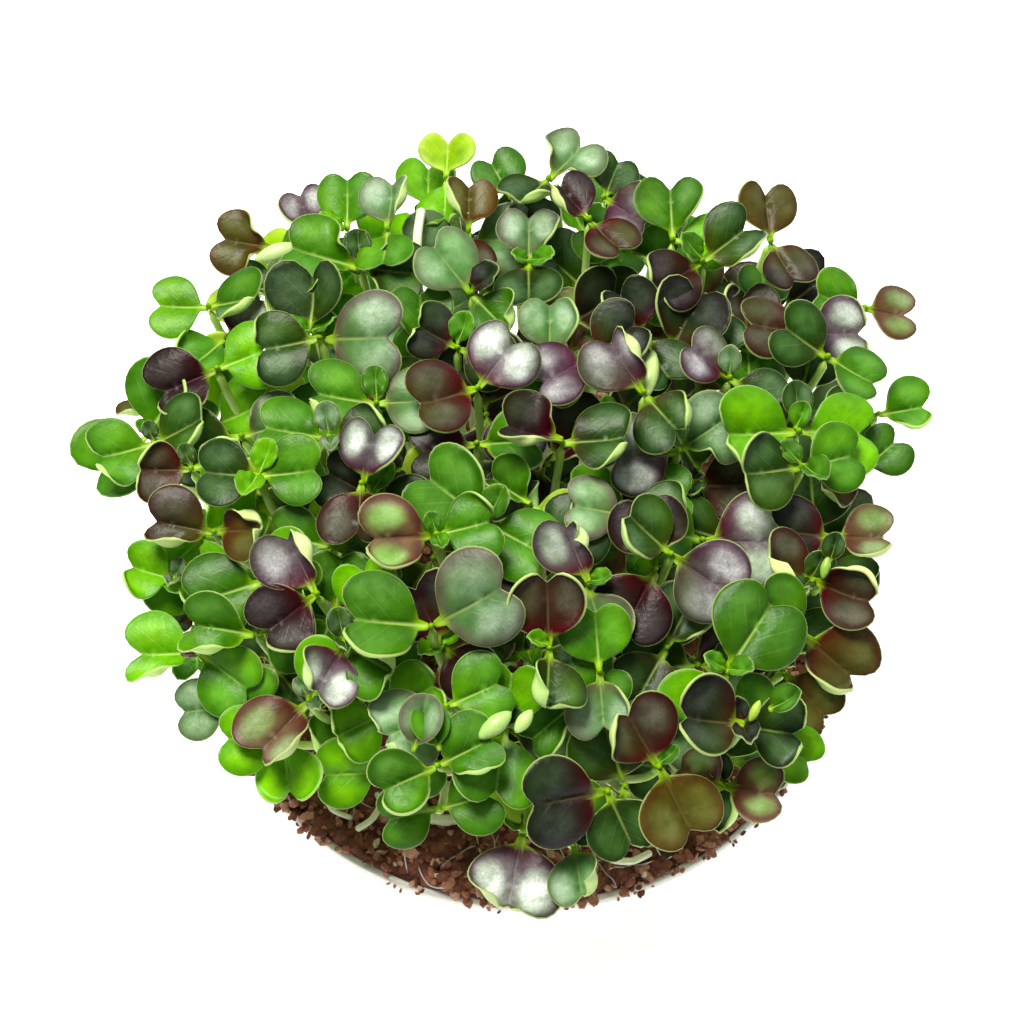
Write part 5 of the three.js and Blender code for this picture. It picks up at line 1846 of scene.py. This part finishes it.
def coir_crumbs():
    rng = np.random.default_rng(CRUMB_SEED)
    mesh = bmesh.new()
    bmesh.ops.create_icosphere(mesh, subdivisions=1, radius=1.0)
    data = bpy.data.meshes.new("coir_crumbs")
    mesh.to_mesh(data)
    ball = np.array([vert.co for vert in data.vertices])
    for _ in range(CRUMBS - 1):
        mesh.from_mesh(data)
    size = lerp(*CRUMB_SIZES, rng.uniform(0, 1, CRUMBS) ** 2)
    stretch = rng.uniform((0.8, 0.6, 0.45), (1.7, 1.1, 0.9), (CRUMBS, 3))
    local = ball[None] * stretch[:, None] * size[:, None, None]
    local = local * rng.uniform(0.72, 1.2, (CRUMBS, len(ball), 1))
    turn = rng.uniform(0, 2 * math.pi, (CRUMBS, 1))
    x = local[..., 0] * np.cos(turn) - local[..., 1] * np.sin(turn)
    y = local[..., 0] * np.sin(turn) + local[..., 1] * np.cos(turn)
    points = np.stack([x, y, local[..., 2] + 0.15 * size[:, None]], -1)
    points = points + crumb_places(rng, CRUMBS)[:, None]
    tone = rng.uniform(0.26, 0.88, CRUMBS)
    tone[rng.uniform(0, 1, CRUMBS) < PALE_CRUMBS] = PALE_CRUMB_SHADE
    mesh.to_mesh(data)
    mesh.free()
    data.vertices.foreach_set("co", (points * MM).ravel())
    shade = data.attributes.new("shade", "FLOAT", "POINT")
    shade.data.foreach_set("value", np.repeat(tone, len(ball)))
    data.update()
    return as_piece(data, [COIR])


crumbs = coir_crumbs()
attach(crumbs, "root")
print("crumb triangles:", len(crumbs.data.polygons))

# %% [markdown]
# ## Coir fibres
#
# Between the crumbs lie short stiff fibres of the husk, 3 to 8 mm long and as thin as
# a bristle. Hair curves would suit them, but the part is kept as plain meshes. Each is
# drawn out along a path that walks over the bed and bends a little at every step. The
# stems' finish suits them, because it has fine ribs along a thread of any colour.

# %% Lay the fibres
FIBRE_SEED = 9
FIBRES = 190
FIBRE_RADIUS = 0.11
FIBRE_SIDES = 4
FIBRE_STEPS = 8
FIBRE_LENGTHS = (3, 8)
FIBRE_LIFT = 0.55


def coir_fibres():
    rng = np.random.default_rng(FIBRE_SEED)
    part = PlantPart()
    for x, y, z in crumb_places(rng, FIBRES):
        heading, bend = rng.uniform(0, 2 * math.pi), rng.uniform(-0.25, 0.25)
        step = rng.uniform(*FIBRE_LENGTHS) / FIBRE_STEPS
        points = []
        for k in range(FIBRE_STEPS + 1):
            points.append((x, y, coir_height(x, y) + FIBRE_LIFT + 0.5 * math.sin(k)))
            heading += bend
            x += step * math.cos(heading)
            y += step * math.sin(heading)
        if math.hypot(x, y) < SPILL_RADIUS:
            tones = np.full((FIBRE_STEPS + 1, 3), rng.uniform(0.3, 0.75))
            radii = [FIBRE_RADIUS] * (FIBRE_STEPS + 1)
            draw_out(part, np.array(points), radii, tones, FIBRE_SIDES)
    return part.piece("coir_fibres")


fibres = coir_fibres()
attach(fibres, "root")
print("fibre triangles:", 2 * len(fibres.data.polygons))

# %% [markdown]
# ## Bare stems, buds and young leaves
#
# A few stems have lost their leaves or lie bent over the coir, thick and nearly white, and here and
# there a bud or a young leaf shows between the seed leaves. They don't follow the layout's rule, so
# their places are chosen one by one from the photo, as short paths that the same two ways of shaping a
# ball can use.

# %% Paths and places of what stands alone
# Each bare stem has the corners of its path and its radius.
BARE_STEMS = [
    ([(-19.5, -31, 27), (-17.6, -33.2, 22.5), (-14.5, -35.2, 21.2), (-10.5, -35.8, 21.1),
      (-7.2, -33.6, 21.8), (-5.0, -30.5, 25.5)], 0.85),
    ([(3.2, -38, 20.2), (1.8, -41, 27), (-0.6, -44, 36), (-2.4, -45.6, 43)], 0.7),
    ([(-22, -30.5, 20), (-21, -33, 22), (-22.5, -35.6, 21.5), (-25, -36.5, 20)], 0.5),
    ([(12, -40.5, 20), (12.6, -42.2, 21.6), (15.5, -42.6, 22), (18.5, -40.2, 20.4)], 0.55),
    ([(-27.5, -29.5, 19.8), (-29.4, -31.6, 21.2), (-28.6, -33.8, 21), (-25.4, -34.6, 20)], 0.4),
    ([(-14, 34, 40), (-16.4, 38.7, 54), (-16.2, 44, 58.4), (-15.6, 48.4, 59)], 0.7),
    ([(-10, 36, 42), (-11, 40, 55), (-12, 45, 57.5)], 0.6),
]
BARE_COLOUR = "dfe4c4"
# Each bud or rolled young leaf has its two ends, its radius and its colour.
BUDS = [
    ((-33.6, 4.2, 57.5), (-30.8, 5.2, 58.6), 1.15, "4a2634"),
    ((-48.4, -25.4, 52.6), (-46.2, -24.4, 53.4), 1.0, "5e3038"),
    ((-38.6, 34.2, 57.2), (-34.8, 35.2, 58.6), 2.1, "a8c67c"),
    ((-40.6, 39.6, 57.6), (-33.8, 41.6, 58.6), 1.35, "b4cc88"),
    ((-6.6, -41.8, 58.6), (-2.0, -38.4, 60.2), 1.35, "a6ca72"),
    ((-1.6, -41.0, 58.8), (0.8, -38.0, 60.0), 1.0, "b2d07c"),
    ((30.4, -38.6, 57.4), (31.8, -36.2, 59.4), 0.65, "a8c444"),
    ((41.4, -16.6, 58.6), (42.2, -14.0, 60.6), 0.7, "8cb444"),
    ((17.4, 12.8, 60.4), (18.6, 20.4, 61.6), 1.3, "b2cc7e"),
]
# Each young leaf has its place, heading, size, steepness and colour.
YOUNG_LEAVES = [
    ((-15.4, -43.5, 57.6), 75, 8.6, 0.35, "sage"),
    ((-11.8, -43.2, 57.4), 110, 7.6, 0.3, "green"),
    ((39.2, 8.4, 60.2), 95, 6.4, 0.5, "dark"),
    ((38.6, 7.2, 60.4), 60, 4.6, 0.8, "green"),
    ((33.0, -37.6, 58.6), 20, 5.6, 0.6, "green"),
    ((42.4, -14.6, 59.6), 70, 4.6, 0.7, "dark"),
]
print("standing alone:", len(BARE_STEMS), "stems,", len(BUDS), "buds and", len(YOUNG_LEAVES), "leaves")

# %% Shape the bare stems, buds and young leaves
BARE_STEPS, BARE_SIDES = 24, 10
BUD_STEPS, ROLLED_BUD_SIDES = 12, 14
BUD_BLUNTNESS = 0.7
YOUNG_SEED = 31
YOUNG_LOOK_SEED = 9000
YOUNG_DETAIL = (40, 12)
SMOOTHING_ROUNDS = 6


def smooth_path(corners, steps):
    """A path that rounds the corners that it is given."""
    corners = np.array(corners, float)
    share = np.linspace(0, len(corners) - 1, steps)
    path = np.stack([np.interp(share, np.arange(len(corners)), axis) for axis in corners.T], 1)
    for _ in range(SMOOTHING_ROUNDS):
        path[1:-1] = (path[:-2] + 2 * path[1:-1] + path[2:]) / 4
    return path


def bare_stems():
    part = PlantPart()
    for corners, radius in BARE_STEMS:
        path = smooth_path(corners, BARE_STEPS)
        tones = np.tile(linear(BARE_COLOUR), (BARE_STEPS, 1))
        draw_out(part, path, [radius] * BARE_STEPS, tones, BARE_SIDES)
    for start, end, radius, tone in BUDS:
        path = np.linspace(start, end, BUD_STEPS)
        turn = np.linspace(0.02, math.pi - 0.02, BUD_STEPS)
        tones = np.tile(linear(tone), (BUD_STEPS, 1))
        draw_out(part, path, radius * np.sin(turn) ** BUD_BLUNTNESS, tones, ROLLED_BUD_SIDES)
    draw = seeded_draws(YOUNG_SEED)
    for k, (place, heading, size, steepness, tint) in enumerate(YOUNG_LEAVES):
        blade = true_leaf_blade(math.radians(heading), size, steepness, draw)
        look = leaf_look(YOUNG_LOOK_SEED + k, tint, 0, NO_CURL)
        add_leaf(part, np.array(place), blade, look, *YOUNG_DETAIL)
    return part.piece("bare_stems")


bare = bare_stems()
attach(bare, "root")
print("bare stem, bud and young leaf triangles:", 2 * len(bare.data.polygons))

# %% [markdown]
# ## The tray
#
# The tray is one thin moulded wall with a lip. A cylinder with its inside cut out would
# do, but a profile spun about the axis gives the slanted wall, the lip and its small
# rounded corners at once. It is the solid's own profile with many more steps, so that
# the rim reads as a true circle from the side.

# %% Turn the tray
TRAY_STEPS = 180


def tray_piece():
    rim = TRAY_RIM_RADIUS
    lip_foot = TRAY_HEIGHT - TRAY_LIP_DEPTH
    profile = [
        (0, 0), (TRAY_BASE_RADIUS - 0.6, 0), (TRAY_BASE_RADIUS, 0.3), (rim - TRAY_LIP_REACH, lip_foot),
        (rim, lip_foot + TRAY_LIP_ROUND), (rim, TRAY_HEIGHT - TRAY_LIP_ROUND),
        (rim - 0.12, TRAY_HEIGHT - 0.12), (rim - TRAY_LIP_ROUND, TRAY_HEIGHT),
        (rim - TRAY_LIP + 0.1, TRAY_HEIGHT), (rim - TRAY_LIP, TRAY_HEIGHT - 0.1),
        (rim - TRAY_LIP, lip_foot), (TRAY_BASE_RADIUS - TRAY_WALL, TRAY_WALL), (0, TRAY_WALL),
    ]
    return piece_from(turned(profile, TRAY_STEPS), "tray_shell", TRAY)


tray = tray_piece()
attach(tray, "root")
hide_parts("tray")
print("tray, mm:", [round(size / MM, 1) for size in tray.dimensions])

# %% [markdown]
# ## Floor, light and camera
#
# The photo was taken from steeply above, in soft daylight, on white, with only faint
# shadows. A white studio backdrop would need strong lights to look white, and they
# would wash out the leaves. So the floor glows a little, as paper on a light table
# does. A wide window gives the light its direction, and a second one lifts the back.

# %% A pale floor
FLOOR_SIZE = 1.6
FLOOR_GAP = 0.0002
FLOOR_GLOW = 0.56


def floor_piece():
    mesh = bmesh.new()
    bmesh.ops.create_grid(mesh, x_segments=2, y_segments=2, size=FLOOR_SIZE)
    bmesh.ops.translate(mesh, vec=(0, 0, -FLOOR_GAP), verts=mesh.verts)
    material, tree = new_material("white_paper")
    shader = add_node(
        tree, "ShaderNodeBsdfPrincipled",
        {"Base Color": colour("fbfbfb"), "Roughness": 0.9, "Emission Color": colour("ffffff"),
         "Emission Strength": FLOOR_GLOW},
    )
    finish_material(tree, shader)
    return piece_from(mesh, "floor", material)


floor_piece()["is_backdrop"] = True
print("the floor glows with strength", FLOOR_GLOW)

# %% Soft daylight
SKY_STRENGTH = 0.21
LIGHT_AIM = Vector((0, 0, 0.04))
# Each window has its name, place, size, power and colour.
WINDOWS = [
    ("key_window", (-0.18, 0.06, 0.85), 0.30, 12.8, "fffaf0"),
    ("back_window", (0.45, 0.45, 0.6), 0.5, 2.4, "f4f8ff"),
]


def soft_light(name, place, size, power, tint):
    data = bpy.data.lights.new(name, "AREA")
    data.size = size
    data.energy = power
    data.color = colour(tint)[:3]
    light = bpy.data.objects.new(name, data)
    light.location = place
    light.rotation_euler = (LIGHT_AIM - Vector(place)).to_track_quat("-Z", "Y").to_euler()
    bpy.context.scene.collection.objects.link(light)
    print(name, "gives", power, "watts from", size, "m of window")


world = bpy.data.worlds.new("soft_sky")
world.use_nodes = True
sky = world.node_tree.nodes["Background"]
sky.inputs["Color"].default_value = colour("ffffff")
sky.inputs["Strength"].default_value = SKY_STRENGTH
bpy.context.scene.world = world
bpy.context.scene.view_settings.view_transform = "Standard"
for window in WINDOWS:
    soft_light(*window)

# %% [markdown]
# ## The camera
#
# It looks down at the angle that the layout's line of sight already uses. A short lens
# would sit close and make the front leaves look too large. A long one, from just under
# half a metre, keeps the leaves at the front and back nearly the same size.

# %% The camera, at the photo's angle
CAMERA_DISTANCE = 450
CAMERA_AIM = PICTURE_CENTRE
CAMERA_LENS = 110
back = np.array((0, -math.cos(VIEW_ANGLE), math.sin(VIEW_ANGLE)))
camera_data = bpy.data.cameras.new("camera")
camera_data.lens = CAMERA_LENS
camera = bpy.data.objects.new("camera", camera_data)
camera.location = Vector((np.array(CAMERA_AIM) + back * CAMERA_DISTANCE) * MM)
camera.rotation_euler = (math.pi / 2 - VIEW_ANGLE, 0, 0)
bpy.context.scene.collection.objects.link(camera)
bpy.context.scene.camera = camera
print("camera, mm:", [round(value / MM) for value in camera.location])

# %% [markdown]
# ## Print the boxes and finish
#
# The fine pieces have to stay about as large as the solids that they stand for, so the two boxes are
# printed together.

# %% Print the boxes
boxes = {"cad": [list(map(float, corner)) for corner in cad_box],
         "visual": [list(map(float, corner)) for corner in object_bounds()]}
for name, (low, high) in boxes.items():
    print(name, "mm:", [round(value / MM, 1) for value in (*low, *high)])
